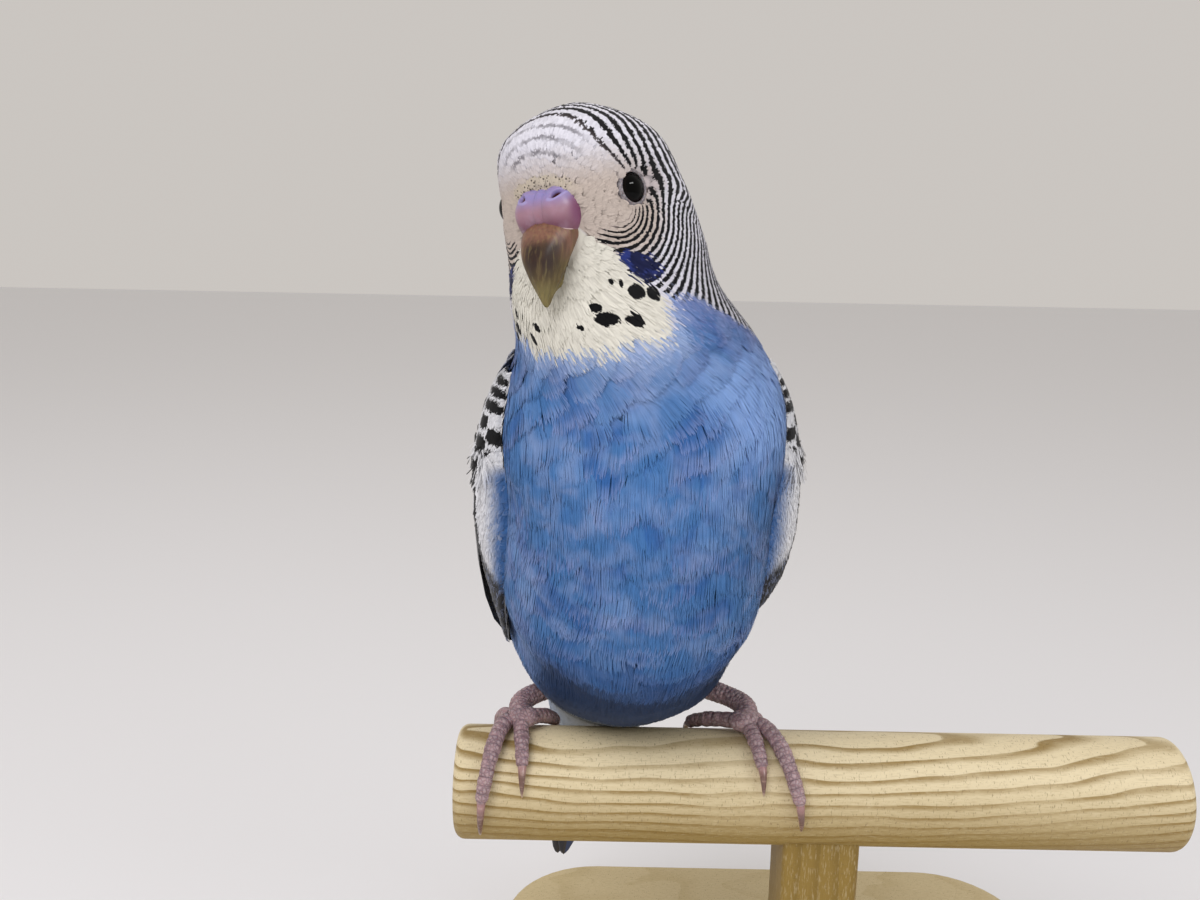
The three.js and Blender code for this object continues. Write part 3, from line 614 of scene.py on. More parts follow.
def coat_marks(local, k, degrees, rng):
    """The plumage's marks on points of barbs: each barb takes its colours from its own root."""
    spread = rng.normal(0, 1, k.shape[:2] + (1,))
    marks = places_marked(local, k, degrees)
    for name, uneven in (("phase", 0.06), ("ring", 0.12), ("throat_y", 0.1), ("violet", 0.35)):
        marks[name] = marks[name] + uneven * spread
    root = local[:, :, 2:3], k[:, :, 2:3] + 0.045 * spread, degrees[:, :, 2:3]
    return {**marks, **regions(*root)}


COAT = {"moved": over_skin, "at": skin_sample, "marks": coat_marks}


# Materials

def linear(colour):
    """An sRGB hex colour as linear red, green, blue and full alpha."""
    parts = [int(colour[i : i + 2], 16) / 255 for i in (1, 3, 5)]
    return [c / 12.92 if c <= 0.04045 else ((c + 0.055) / 1.055) ** 2.4 for c in parts] + [1.0]


# Nodes: type, output, settings, and the inputs in the order in which their values are given
NODES = {
    "place": ("ShaderNodeTexCoord", "Object", {}, ()),
    "scaled": ("ShaderNodeMapping", 0, {}, (0, 3)),
    "measured": ("ShaderNodeMapping", 0, {"vector_type": "TEXTURE"}, (0, 1, 2, 3)),
    "x": ("ShaderNodeSeparateXYZ", 0, {}, (0,)),
    "y": ("ShaderNodeSeparateXYZ", 1, {}, (0,)),
    "z": ("ShaderNodeSeparateXYZ", 2, {}, (0,)),
    "xyz": ("ShaderNodeCombineXYZ", 0, {}, (0, 1, 2)),
    "length": ("ShaderNodeVectorMath", 1, {"operation": "LENGTH"}, (0,)),
    "shifted": ("ShaderNodeMix", 1, {"data_type": "VECTOR"}, (0, 4, 5)),
    "noise": ("ShaderNodeTexNoise", 0, {}, (0, 2, 3)),
    "swirl": ("ShaderNodeTexNoise", 1, {}, (0, 2, 3)),
    "cells": ("ShaderNodeTexVoronoi", 0, {}, (0, 2)),
    "walls": ("ShaderNodeTexVoronoi", 0, {"feature": "DISTANCE_TO_EDGE"}, (0, 2)),
    "between": ("ShaderNodeMapRange", 0, {"interpolation_type": "SMOOTHSTEP"}, (0, 1, 2, 3, 4)),
    "mixed": ("ShaderNodeMix", 2, {"data_type": "RGBA"}, (0, 6, 7)),
    "dimmed": ("ShaderNodeMix", 2, {"data_type": "RGBA", "blend_type": "MULTIPLY"}, (0, 6, 7)),
    "rgb": ("ShaderNodeCombineColor", 0, {}, (0, 1, 2)),
    "bump": ("ShaderNodeBump", 0, {}, ("Strength", "Distance", "Height")),
}
for sum_of in ("add", "subtract", "multiply", "divide", "minimum", "absolute", "fract", "sine", "cosine"):
    NODES[sum_of] = ("ShaderNodeMath", 0, {"operation": sum_of.upper()}, (0, 1))


def add_node(tree, made, kind, *inputs):
    """A node's output, with its settings and links. A kind that isn't in NODES is the name of a
    value on the mesh's points. Equal nodes are made once."""
    if (kind, *inputs) not in made:
        of_points = ("ShaderNodeAttribute", "Fac", {"attribute_name": kind}, ())
        node_type, output, settings, keys = NODES.get(kind, of_points)
        node = tree.nodes.new(node_type)
        for key, value in settings.items():
            setattr(node, key, value)
        for key, value in zip(keys, inputs):
            feed(tree, made, node.inputs[key], value)
        made[(kind, *inputs)] = node.outputs[output]
    return made[(kind, *inputs)]


def feed(tree, made, socket, value):
    """Gives an input its number, vector or colour, or links it to a node that is named or described."""
    if isinstance(value, str) and value[0] != "#":
        value = (value,)
    if isinstance(value, tuple) and isinstance(value[0], str):
        tree.links.new(add_node(tree, made, *value), socket)
    else:
        socket.default_value = linear(value) if isinstance(value, str) else value


def finish(name, **inputs):
    """A material, by the inputs of its surface shader."""
    material = bpy.data.materials.new(name)
    material.use_nodes = True
    tree, made = material.node_tree, {}
    for key, value in inputs.items():
        feed(tree, made, tree.nodes["Principled BSDF"].inputs[key.replace("_", " ")], value)
    return material


def mottle(size, detail=2.0, stretch=(1, 1, 1)):
    """Uneven patches of about size mm, longer along the axes with a stretch over 1."""
    return "noise", ("scaled", "place", tuple(1000 / size / s for s in stretch)), 1.0, detail


def layers(colour, *coats):
    """A colour with others laid over it in turn, each by a share and that share's strength."""
    for share, strength, over in coats:
        colour = ("mixed", share if strength == 1 else ("multiply", share, strength), colour, over)
    return colour


def shaded(colour, light):
    """A colour made darker or lighter."""
    return "dimmed", 1.0, colour, ("rgb", light, light, light)


WHITE, CREAM, LORES, FRINGE, TAN = "#d8d7e0", "#dad7cb", "#bfb2a8", "#c9bea4", "#95735c"
BAR_BLACK, BAR_GREY, SPOT_BLACK = "#0b0a0e", "#6d6062", "#08080b"
BLUE, DEEP_BLUE, PALE_BLUE, TIP_LILAC = "#4473ac", "#2c5b9c", "#83a0cf", "#8798c0"
# SHADED_LOW_BLUE: the lower belly's deeper blue with painted shade in it
VIOLET, LILAC, VENT, SHADED_LOW_BLUE = "#10173f", "#9a93c2", "#a9b0b4", "#0d2b50"


def spot_field():
    """Distance from the nearest throat spot's centre, in units of its own reach."""
    place, nearest = ("xyz", "throat_x", "throat_y"), None
    for k, degrees, wide, high in SPOTS:
        at, size = (degrees * THROAT_MM, k * DOWN_MM, 0), (wide, high, 1)
        gap = ("length", ("measured", place, at, (0, 0, 0), size))
        nearest = ("minimum", nearest, gap) if nearest else gap
    return nearest


def plumage():
    """Small feathers: matte keratin barbs with a faint sheen. Blue comes from the barbs' structure,
    mottled at the size of a feather with lilac rims; white parts carry black bars and spots. A
    painted highlight lies on the upper breast's left side, and painted shade darkens the lower
    breast and the belly."""
    deep = ("between", ("add", mottle(7), ("multiply", "tint", 0.25)), 0.6, 0.76)
    warped = ("shifted", 0.004, "place", ("swirl", "place", 260.0, 2.0))
    scallop = ("walls", ("scaled", warped, (150, 150, 230)), 1.0)
    band = ("multiply", ("between", scallop, 0.3, 0.02), ("between", mottle(6), 0.42, 0.62))
    rim = ("multiply", ("between", "tip", 0.7, 0.97), ("between", "tint", 0.35, 0.8))
    blue = layers(
        BLUE,
        (deep, 0.75, DEEP_BLUE),
        (("between", mottle(9, 3), 0.5, 0.72), 0.5, PALE_BLUE),
        (band, 0.35, TIP_LILAC),
        (rim, 0.3, "#97a3cf"),
        # painted highlight on the upper breast's left side
        ("pale", 0.75, "#8fb0e6"),
        ("mist", 0.8, "#b3c2e2"),
        ("lilac", 0.45, LILAC),
        # deeper blue of the lower breast and belly, partly painted shade of the underside
        ("deep", 0.7, "#20508f"),
        # painted shade low on the belly's front, over its deeper blue
        ("dark", 1, SHADED_LOW_BLUE),
        ("vent", 0.7, VENT),
    )
    dot_share = ("between", ("cells", "place", 2300.0), 0.36, 0.22)
    turns = ("divide", ("subtract", "ring", RING_FIRST), RING_PERIOD)
    arc = ("between", ("cosine", ("multiply", turns, 2 * math.pi)), 0.1, 1.0)
    arc = ("multiply", ("multiply", arc, "ringed"), ("between", mottle(2.4), 0.32, 0.58, 0.2, 0.75))
    starts = ("between", "bars", 0, 1, 0.75, -0.3)
    wave = ("sine", ("multiply", "phase", 2 * math.pi))
    bar = ("between", wave, starts, ("add", starts, 0.35))
    bar = ("multiply", bar, ("multiply", ("between", "bars", 0, 0.35), "barred"))
    white = layers(
        WHITE,
        ("warm", 1, LORES),
        ("mask", 1, CREAM),
        ("fringe", 0.55, FRINGE),
        ("tan", 0.35, TAN),
        (("multiply", dot_share, ("between", "fringe", 0.3, 0.7)), 0.85, "#29241f"),
        (arc, 1, "#5f5b62"),
        (bar, 1, ("mixed", ("between", "bars", 0, 0.5), BAR_GREY, BAR_BLACK)),
    )
    spot = ("multiply", ("between", spot_field(), 1.06, 0.94), ("between", "strand", 1.9, 1.7))
    patch = ("mixed", ("between", mottle(1.6), 0.45, 0.65), VIOLET, "#253273")
    colour = layers(
        white,
        ("blue", 1, blue),
        (("between", "violet", -0.15, 0.15), 1, patch),
        (spot, 1, SPOT_BLACK),
    )
    colour = shaded(colour, ("between", "strand", -1.8, 1.8, 0.92, 1.06))
    return finish("body_feather_barbs", Base_Color=colour, Roughness=0.65, Specular_IOR_Level=0.15,
                  Sheen_Weight=0.05, Sheen_Roughness=0.5)


BARB_SPACING = 0.42


def vane_finish(name, centre, margin, wide, web=None):
    """A firm feather: overlapping hooked barbs, drawn coarser than real ones so that they show. It
    is satin along the barbs, dark with a pale margin, with a stiff shaft. web is the colour of the
    outer web, on the side of the feather that shows."""
    if web:
        centre = ("mixed", ("between", "across", 0.05, 0.2), centre, web)
    edge = ("add", "edge", ("multiply", ("subtract", mottle(0.7), 0.5), 1.4))
    line = ("sine", ("multiply", "barb", 2 * math.pi / BARB_SPACING))
    colour = ("mixed", ("between", edge, wide * 0.8, wide * 1.2), margin, centre)
    colour = shaded(colour, ("between", line, -1, 1, 0.86, 1.1))
    colour = layers(colour, (("between", "shaft", 0.35, 0.16), 0.6, "#3a3634"))
    return finish(name, Base_Color=colour, Roughness=0.5, Specular_IOR_Level=0.35, Sheen_Weight=0.1,
                  Normal=("bump", 0.25, 0.00006, line))


def front_finish():
    """The wing's front edge: loose pale barbs that don't hook together, blue by the body and deepened
    there as painted shade of the crease, with soft black spots above and slaty quills below."""
    colour = layers(
        "#dfe0e4",
        # partly the flank's blue, partly painted shade of the crease by the body
        (("between", "tone", 0.4, 0.95), 1, "#35649f"),
        ("slate", 1, ("mixed", ("between", "strand", 0.2, 1.2), "#16171c", "#59627a")),
        (("between", "ink", 0.3, 0.7), 1, "#0c0b0f"),
    )
    colour = shaded(colour, ("between", "strand", -1.8, 1.8, 0.82, 1.06))
    return finish("wing_front_barbs", Base_Color=colour, Roughness=0.7, Specular_IOR_Level=0.2,
                  Sheen_Weight=0.2)


def cere_finish():
    """Waxy bare skin round the nostrils: smooth, faintly translucent, violet above and pinker below."""
    colour = layers(
        "#8b80b4",
        (("between", "height", 93.2, 90.8), 1, "#9c7684"),
        (("between", "height", 91, 88.8), 1, "#7b4d60"),
        (("between", mottle(2.2, 3), 0.42, 0.7), 0.4, "#a78c9e"),
        (("between", "edge", 3.7, 4.6), 1, "#7c4568"),
        (("between", "pit", 0.3, 1.0, 0, 0.45), 1, "#a9a4d8"),
        # painted shade inside the nostril openings
        (("between", "hole", 0.3, 0.7), 1, "#5a2412"),
        (("between", "rim", 0.3, 0.8), 1, "#e2c6c2"),
    )
    return finish("cere_waxy_skin", Base_Color=colour, Roughness=0.4, Subsurface_Weight=0.15,
                  Subsurface_Scale=0.0008, Subsurface_Radius=(1.0, 0.45, 0.5),
                  Normal=("bump", 0.25, 0.00008, mottle(0.35, 3)))


def horn_finish():
    """Bill horn: layered keratin in streaks from root to tip, reddish at the root, olive at the sides
    and the tip, and darker in a band over the ridge and its left flank."""
    streaks = mottle(0.45, 3, (1, 1, 8))
    from_flank = ("absolute", ("divide", ("subtract", "turn", 20.0), 62.0))
    band = ("multiply", ("between", "down", 1.1, 1.8), ("between", "down", 3.7, 2.4))
    colour = layers(
        "#7a5443",
        (("between", "down", 1.5, 2.6), 1, "#54441f"),
        (("between", "down", 3.0, 4.2), 1, "#776b3c"),
        (("multiply", ("between", ("subtract", 1.0, from_flank), 0.0, 0.55), band), 1, "#2c180f"),
        (("between", streaks, 0.5, 0.68), 0.3, "#8f7f4d"),
        (("between", mottle(1.2, 2, (1, 1, 5)), 0.5, 0.35), 0.45, "#4b3720"),
        (("between", streaks, 0.46, 0.32), 0.35, "#33261a"),
    )
    return finish("bill_horn", Base_Color=colour, Roughness=0.48, Subsurface_Weight=0.06,
                  Subsurface_Scale=0.0006, Normal=("bump", 0.25, 0.00008, streaks))


def eye_finish():
    """A wet cornea over a nearly black iris."""
    colour = ("mixed", ("between", "out", 0.78, 0.82), "#0a0605", "#020202")
    return finish("wet_eyeball", Base_Color=colour, Roughness=0.05, IOR=1.36, Specular_IOR_Level=0.16)


def lid_finish():
    """Bare grey skin of the lids, in small soft granules."""
    grain = mottle(0.3, 3)
    colour = ("mixed", ("between", grain, 0.35, 0.65), "#6b6468", "#948d90")
    return finish("eyelid_bare_skin", Base_Color=colour, Roughness=0.55, Subsurface_Weight=0.1,
                  Subsurface_Scale=0.0006, Normal=("bump", 0.6, 0.00015, grain))


def leg_finish():
    """Scaled skin of the feet: dry plates about 0.7 mm wide with pale worn rims over pink flesh."""
    wall = ("walls", "place", 1450.0)
    plate = ("multiply", ("between", wall, 0.04, 0.3), ("between", "rim", 0.1, 0.7, 0.35, 1))
    colour = layers(
        "#8a7175",
        (("between", mottle(1.8), 0.4, 0.6), 1, "#a3878a"),
        (plate, 0.45, "#c2adad"),
        (("between", "rim", 0.3, 0.0, 0, 0.6), 1, "#513e47"),
        (("between", wall, 0.06, 0.0, 0, 0.4), 1, "#5f4953"),
    )
    height = ("add", ("between", wall, 0, 0.25), "rim")
    return finish("leg_scaly_skin", Base_Color=colour, Roughness=0.5, Subsurface_Weight=0.15,
                  Subsurface_Scale=0.001, Normal=("bump", 0.6, 0.00012, height))


def claw_finish():
    """Claws: clear horn over a dark quick, paler at the tip."""
    core = ("multiply", ("between", "ridge", 0.1, 0.7), ("between", "along", 0.1, 0.4))
    colour = layers(
        "#a17c7c",
        (("between", "along", 0.0, 0.5), 1, "#937164"),
        (core, 0.6, "#4b342f"),
        (("between", "along", 0.75, 1.0), 1, "#c0a791"),
        (("between", mottle(0.4, 2, (6, 1, 1)), 0.5, 0.7), 0.3, "#cdb3a6"),
    )
    return finish("claw_horn", Base_Color=colour, Roughness=0.3, Subsurface_Weight=0.1,
                  Subsurface_Scale=0.0006)


def wood_finish(name, grain_turn, slope, ring, light, under, dark, depth=0.9):
    """Sanded pine: pale early wood, thin yellow-brown late wood wherever a ring meets the surface,
    fine fibres along the grain and short dark pores across it, under a worn matte seal. ring is
    in mm; slope and its growth tilt the rings along the piece. Below the dowel's axis the colour
    turns from light to under, a painted shade of the underside."""
    along = ("measured", "place", (0, 0, 0), (0, grain_turn, 0), (MM, MM, MM))
    x, y, z = [(axis, along) for axis in ("x", "y", "z")]

    def stretched(by, across):
        return "xyz", ("multiply", x, by), ("multiply", y, across), ("multiply", z, across)

    wander = ("noise", ("xyz", ("multiply", x, 0.35), y, z), 0.09, 2.0)
    fibre = ("noise", stretched(0.8, 5.0), 1.0, 3.0)
    pore = ("noise", stretched(5.0, 1.6), 1.0, 2.0)
    tilt = ("multiply", x, ("add", ("multiply", x, slope[1]), slope[0]))
    level = ("subtract", ("add", z, ("multiply", wander, 4.5)), tilt)
    rings = ("fract", ("divide", level, ring))
    late = ("multiply", ("between", rings, 0.45, 0.9), ("between", rings, 1.0, 0.95))
    ripe = ("multiply", late, ("between", mottle(18), 0.3, 0.6, 0.4 * depth, depth))
    colour = layers(
        light,
        # painted shade: below the dowel's axis the colour turns to under, as if lit from above
        (("between", z, BIRD_AT[2] + 7, BIRD_AT[2] - 7), 1, under),
        (ripe, 1, dark),
        (("between", fibre, 0.5, 0.75), 0.25, "#806738"),
        (("between", fibre, 0.5, 0.25), 0.25, "#dccfae"),
        (("between", pore, 0.6, 0.72), 0.5, "#6f5a33"),
    )
    height = ("subtract", ("add", ("multiply", late, 0.3), fibre), ("multiply", pore, 0.8))
    return finish(name, Base_Color=colour, Roughness=0.55, Specular_IOR_Level=0.35,
                  Normal=("bump", 0.35, 0.0001, height))


# Long feathers: closed thin vanes laid along their shafts

VANE_COLUMNS, TIP_ROWS = 9, 7
SHAFT_RISE, SHAFT_REACH = 0.09, 0.3  # the shaft's ridge: height and half width
BARB_SLANT = 0.9  # how far a barb has run towards the tip for each mm out from the shaft


def turn_matrix(axis, degrees):
    return np.array(Matrix.Rotation(math.radians(degrees), 3, Vector(axis)))


def vane(pile, path, out, width, roll, point, rows, cell, seed, thick=0.32, cup=0.12):
    """A feather vane along path, its flat side towards out, its tip rounded or drawn to a point.
    cell is its own column of the unwrap, and how many there are."""
    rough_length = np.linalg.norm(np.diff(path(np.linspace(0, 1, 9)), axis=0), axis=-1).sum()
    tip = np.clip(width * mix(0.55, 1.6, point) / rough_length, 0.05, 0.6)
    rounding = 1 - tip + tip * np.sin(np.linspace(0.25, 1.54, TIP_ROWS))
    t = np.concatenate([np.linspace(0, 1 - tip, rows - TIP_ROWS), rounding])
    places, outs = path(t), out(t)
    along = unit(path(t + 0.01) - path(t - 0.01))
    across = unit(np.cross(along, outs))
    face = np.cross(across, along)
    c, s = math.cos(math.radians(roll)), math.sin(math.radians(roll))
    across, face = across * c - face * s, face * c + across * s
    broad = mix(0.45, 1, smooth(t, 0, 0.45)) * mix(1, 0.85 - 0.35 * point, smooth(t, 0.5, 1))
    rounded = np.sqrt(np.clip(1 - np.clip((t - 1 + tip) / tip, 0, 1) ** 2, 0.0004, 1))
    half = width / 2 * broad * rounded
    rng = np.random.default_rng(int(seed * 1e6) % 2**31)
    q = np.linspace(-1, 1, VANE_COLUMNS)
    loop = np.concatenate([q, q[-2:0:-1]])
    upper = np.concatenate([np.ones(VANE_COLUMNS), np.zeros(VANE_COLUMNS - 2)])
    frayed = 1 + rng.normal(0, 0.025, (len(t), len(loop))) * (np.abs(loop) > 0.99)
    wide = half[:, None] * loop * frayed
    shaft = SHAFT_RISE * np.exp(-((wide / SHAFT_REACH) ** 2)) * (1 - t[:, None])
    rise = cup * half[:, None] * (1 - loop**2) + shaft
    rise = rise - (1 - upper) * thick * (1 - loop**2) * mix(1, 0.5, t[:, None])
    points = places[:, None] + wide[..., None] * across[:, None] + rise[..., None] * face[:, None]
    length = rough_length * t[:, None]
    rest = rough_length - length
    values = {
        "across": np.broadcast_to(loop, wide.shape),
        "edge": np.minimum(half[:, None] * (1 - np.abs(loop)) + 0.15 * rest, rest),
        "barb": length - BARB_SLANT * np.abs(wide),
        "shaft": np.abs(wide),
    }
    ends = [places[:1], places[-1:] + along[-1:] * 0.02]
    filled = {n: np.concatenate([v.ravel(), [v[0].mean(), v[-1].mean()]]) for n, v in values.items()}
    u = (cell[0] + 0.5 + 0.45 * np.append(np.broadcast_to(loop, wide.shape).ravel(), [0, 0])) / cell[1]
    v = 0.02 + 0.96 * np.append(np.broadcast_to(t[:, None], wide.shape).ravel(), [0, 1])
    faces = closed_faces(len(t), len(loop))
    pile.add(np.concatenate([points.reshape(-1, 3), *ends]), faces, **filled, uv=np.stack([u, v], -1))


# Wings: rows of feathers from the wrist to the tips of the flights, laid on the body's surface.
# Root and tip give section and angle for the first and the last feather of a row, and height gives
# how high its root and tip lie.
WING_ROWS = [
    {"kind": "flight", "count": 9, "root": ((8.3, 96), (8.8, 124)), "tip": ((15.9, 152), (12.4, 161)),
     "height": ((4.2, 0.5), (1.0, 1.4)), "width": (7.2, 8.4), "point": 0.6, "bend": 1.5},
    {"kind": "flight", "count": 10, "root": ((8.0, 102), (7.6, 160)), "tip": ((11.3, 122), (12.9, 173)),
     "height": ((2.4, 2.8), (1.4, 1.9)), "width": (8.5, 8.5), "point": 0.2, "bend": 1.3},
    {"kind": "covert", "count": 10, "root": ((7.6, 97), (7.4, 160)), "tip": ((9.7, 101), (10.1, 170)),
     "height": ((3.2, 4.8), (1.6, 2.4)), "width": (6.4, 7.0), "point": 0.1, "bend": 1},
    {"kind": "covert", "count": 10, "root": ((7.0, 97), (6.6, 157)), "tip": ((8.85, 98), (9.1, 168)),
     "height": ((3.2, 4.8), (1.8, 2.9)), "width": (5.4, 6.0), "point": 0.1, "bend": 1},
]
LESSER_TIPS, LESSER_COUNT = (6.05, 6.4, 6.8, 7.23, 7.7, 8.25), 10
WING_SWELL = (
    [5.4, 5.8, 6.3, 6.6, 7.0, 7.8, 8.6],  # section
    [0.2, 0.6, 1.2, 1.6, 2.3, 3.6, 4.1],  # height
)
# The front edge's height over the body, by section, on the right side and on the left
EDGE_FROM = [5.0, 5.4, 5.6, 5.87, 6.17, 6.53, 6.95, 7.46, 7.95, 8.4, 8.9, 9.4, 9.9, 10.4, 10.9]
EDGE_SWELL = {
    -1: [0, 0.3, 0.8, 1.2, 1.5, 1.95, 2.6, 3.55, 4.3, 4.3, 3.5, 2.5, 1.5, 0.7, 0],
    1: [0, 0, 0.1, 0.55, 1.1, 1.7, 2.5, 3.9, 5.1, 5.4, 5.4, 5.1, 4.6, 3.4, 0],
}
EDGE_SPOTS = np.array([5.6, 5.87, 6.17, 6.53, 6.95, 7.46, 7.95])  # sections of the edge's black spots
EDGE_STARTS, EDGE_ENDS, EDGE_ANGLE, EDGE_WIDE = 5.3, 10.7, 83, 8
FRONT_ROWS, FRONT_COLUMNS, FRONT_WRAP = 40, 9, 1.4
ARM_SPAN, ARM_ANGLE, ARM_HALF = (5.75, 9.6), 130, 36  # sections, and angles on the body's side
# Barbs, length, loose, depth and thick of the front's tufts and of its long hairs
FRONT_TUFTS, FRONT_HAIRS = (22, 1, 0.02, 0.5, 1.2), (11, 1.35, 0.09, 0.9, 0.3)


def wing_rows():
    rows = list(WING_ROWS)
    for n, tip in reversed(list(enumerate(LESSER_TIPS))):
        low = 96 + 20 * 0.4**n - (0 if n % 2 else 3.5)
        height = np.interp(tip, *WING_SWELL)
        row = {"kind": "lesser", "count": LESSER_COUNT, "width": (4.4, 5.2), "point": 0.0, "bend": 1}
        row["root"] = (tip - 1.0, low), (tip - 1.1, low + 70)
        row["tip"] = (tip, low + 1.5), (tip - 0.1, low + 74)
        row["height"] = (0.35 * height, height), (0.25 * height, 0.7 * height)
        rows.append(row)
    return rows


def front_surface(side):
    """The wing's front edge as a surface: w is 0 at the body and 1 at the outer edge."""

    def place(k, w):
        rise = np.interp(k, EDGE_FROM, EDGE_SWELL[side]) * np.sin(1.5 * np.clip(w, 0, 1))
        return body_point(k, side * (EDGE_ANGLE + EDGE_WIDE * w), rise - 0.5 * (w < 0.1))

    def steps(k, w):
        return place(k + 0.01, w) - place(k - 0.01, w), place(k, w + 0.01) - place(k, w - 0.01)

    def at(k, w):
        normal = unit(np.cross(*steps(k, w))) * side
        return place(k, w), normal, normal

    def beside(roots, ahead, across):
        k, w, down, out = moved(roots, ahead, across)
        return k + down, w + out

    return {"steps": steps, "at": at, "moved": beside, "marks": front_marks}


def front_marks(local, k, w, rng):
    """Black spots down the edge, a dark line outside the pale down, and slaty quills below it."""
    spread = rng.normal(0, 1, k.shape[:2] + (1,))
    k, w = k + 0.02 * spread, w + 0.03 * spread
    gap = np.gradient(EDGE_SPOTS)
    two = smooth(k, 6.3, 6.6)
    inner = (w < 0.5) * two
    middle, half = mix(0.5, mix(0.8, 0.2, inner), two), mix(0.7, 0.36, two)
    spot = ((k - 0.5 * inner * np.interp(k, EDGE_SPOTS, gap))[..., None] - EDGE_SPOTS) / (0.37 * gap)
    spot = 1 - np.minimum((spot**2).min(-1) + ((w - middle) / half) ** 2, 2)
    outer = w > np.interp(k, [6.6, 7.1, 7.4, 8], [-1, 0.35, 0.7, 0.85])
    line = (k > 7.7) & (w > mix(0.84, 0.76, smooth(k, 8, 9.5))) & (w < mix(1.05, 2, smooth(k, 8.3, 9)))
    ink = np.maximum(np.where(outer, smooth(spot, -0.15, 0.15), 0), line)
    slate = smooth(k + 0.6 * (w - 0.5), 9.25, 9.6)
    # tone: blue towards the body, partly painted shade of the crease
    return {"ink": ink, "slate": slate, "tone": (1 - w) * smooth(k, 6.9, 7.6)}


def make_wing_front(name, side, material, rng):
    """The wing's front edge in loose tufts that face ahead and hang down. The topmost of the pale
    ones stand off in long hairs."""
    surface = front_surface(side)
    k = EDGE_STARTS + (EDGE_ENDS - EDGE_STARTS) * np.linspace(0, 1, FRONT_ROWS) ** 1.15
    k, w = (values.ravel() for values in np.meshgrid(k, np.linspace(0.0, FRONT_WRAP, FRONT_COLUMNS)))
    k, w = k + rng.normal(0, 0.04, len(k)), w + rng.normal(0, 0.05, len(w))
    pile = Pile()
    hairs = (k > 6.95) & (k < 7.45) & (w > 0.4) & (w < 1.1)
    for keep, (barbs, length, loose, depth, thick) in ((k > 0, FRONT_TUFTS), (hairs, FRONT_HAIRS)):
        at = k[keep], w[keep]
        steps = [step / 0.02 for step in surface["steps"](*at)]
        lean = rng.normal(0.2, 0.1, (len(at[0]), 1))
        normal = surface["at"](*at)[1]
        ahead = unit(flattened(unit(unit(steps[0]) + lean * unit(steps[1])), normal))
        roots = rooted(*at, ahead, normal, steps, np.stack([at[1] / 1.5, (at[0] - 5) / 6], -1))
        sizes = length * mix(2.0, 3.2, smooth(at[0], 6.6, 7.6)) * rng.normal(1, 0.1, len(at[0]))
        tufts(pile, surface, roots, sizes, 0.7 * sizes, barbs, depth + 0 * sizes, rng, fray=0.12,
              even=0.8, loose=loose, hooked=0.08, thick=thick)
    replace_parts(pile.build(name + "_front_feathers", material, "pale_feather"), name)


def wing_feather(pile, row, side, u, cell, rng):
    """A feather of a row, u along it. Its root and tip are held under the wing's front edge."""
    root, tip, height = (mix(*np.array(row[key]), u) for key in ("root", "tip", "height"))
    if row["kind"] != "flight":
        height = np.minimum(height, np.interp([root[0], tip[0]], EDGE_FROM, EDGE_SWELL[side]) + 0.3)
    reach = tip + rng.normal(0, [0.07, 0.9]) - root

    def at(t):
        t = np.asarray(t)
        return root[0] + reach[0] * t, side * (root[1] + reach[1] * np.maximum(t, 0) ** row["bend"])

    def path(t):
        return body_point(*at(t), GAP + mix(*height, np.sin(np.pi * np.clip(t, 0, 1) / 2)))

    def out(t):
        return unit(body_point(*at(t), 1.0) - body_point(*at(t)))

    roll, rows = side * rng.normal(7, 1), 12 if row["kind"] == "lesser" else 18
    vane(pile, path, out, mix(*row["width"], u), roll, row["point"], rows, cell, rng.random())


def make_wing(name, side, finishes, rng):
    piles = {kind: Pile() for kind in finishes}
    for row in wing_rows():
        count = row["count"]
        for n in range(count):
            wing_feather(piles[row["kind"]], row, side, n / (count - 1), (n, count), rng)
    for kind, pile in piles.items():
        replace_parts(pile.build(f"{name}_{kind}_feathers", finishes[kind], "dark_feather"), name)
    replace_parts(make_wing_arm(name, side, finishes["lesser"]), name)


def make_wing_arm(name, side, material):
    """The arm under the small feathers: a low closed cushion on the body's side."""
    rows, columns = 20, 16
    t = np.linspace(0.02, 0.98, rows)[:, None]
    q = np.linspace(-1, 1, columns)[None]
    full = (1 - (2 * t - 1) ** 4) ** 0.5
    k = mix(*ARM_SPAN, t) + 0 * q
    degrees = side * (ARM_ANGLE + ARM_HALF * mix(0.25, 1, full) * q)
    rise = 0.3 + 0.9 * full * np.sqrt(np.clip(1 - q**4, 0, 1))
    top, under = body_point(k, degrees, GAP + rise), body_point(k, degrees, 0.1 + 0 * rise)
    points = np.concatenate([top, under[:, ::-1]], 1)
    points = np.concatenate([points.reshape(-1, 3), points[[0, -1]].mean(1)])
    uv = np.linspace([0, 0], [1, 1], len(points))
    pile = Pile()
    pile.add(points, closed_faces(rows, 2 * columns), across=0.0, edge=9.0, barb=0.0, shaft=9.0, uv=uv)
    return pile.build(f"{name}_arm", material, "dark_feather")


# Tail: pairs of long feathers under each other, with coverts above and below

TAIL_DIP, TAIL_TURN, TAIL_PAIRS = 62, 4, 6
# From the middle pair to the outermost
TAIL_LENGTHS, TAIL_WIDTHS, TAIL_OFFSETS, TAIL_SPREADS = (66, 30), (8.6, 7.2), (1.1, 3.4), (0.4, 7)
TAIL_ROOT, TAIL_DROP = (40.4, 4.6), 0.55
TAIL_COVERTS = {
    "above": {"sign": 1, "drop": -0.2, "apart": 3.6, "spread": 9, "lift": 0, "length": 17, "width": 5.2},
    "below": {"sign": -1, "drop": 7.4, "apart": 3.4, "spread": 6, "lift": 12, "length": 27, "width": 5.4},
}
COVERT_LAYERS, COVERT_COUNT = 3, 7
TAIL_SLOTS = {"long": "dark_feather", "above": "blue_feather", "below": "pale_feather"}


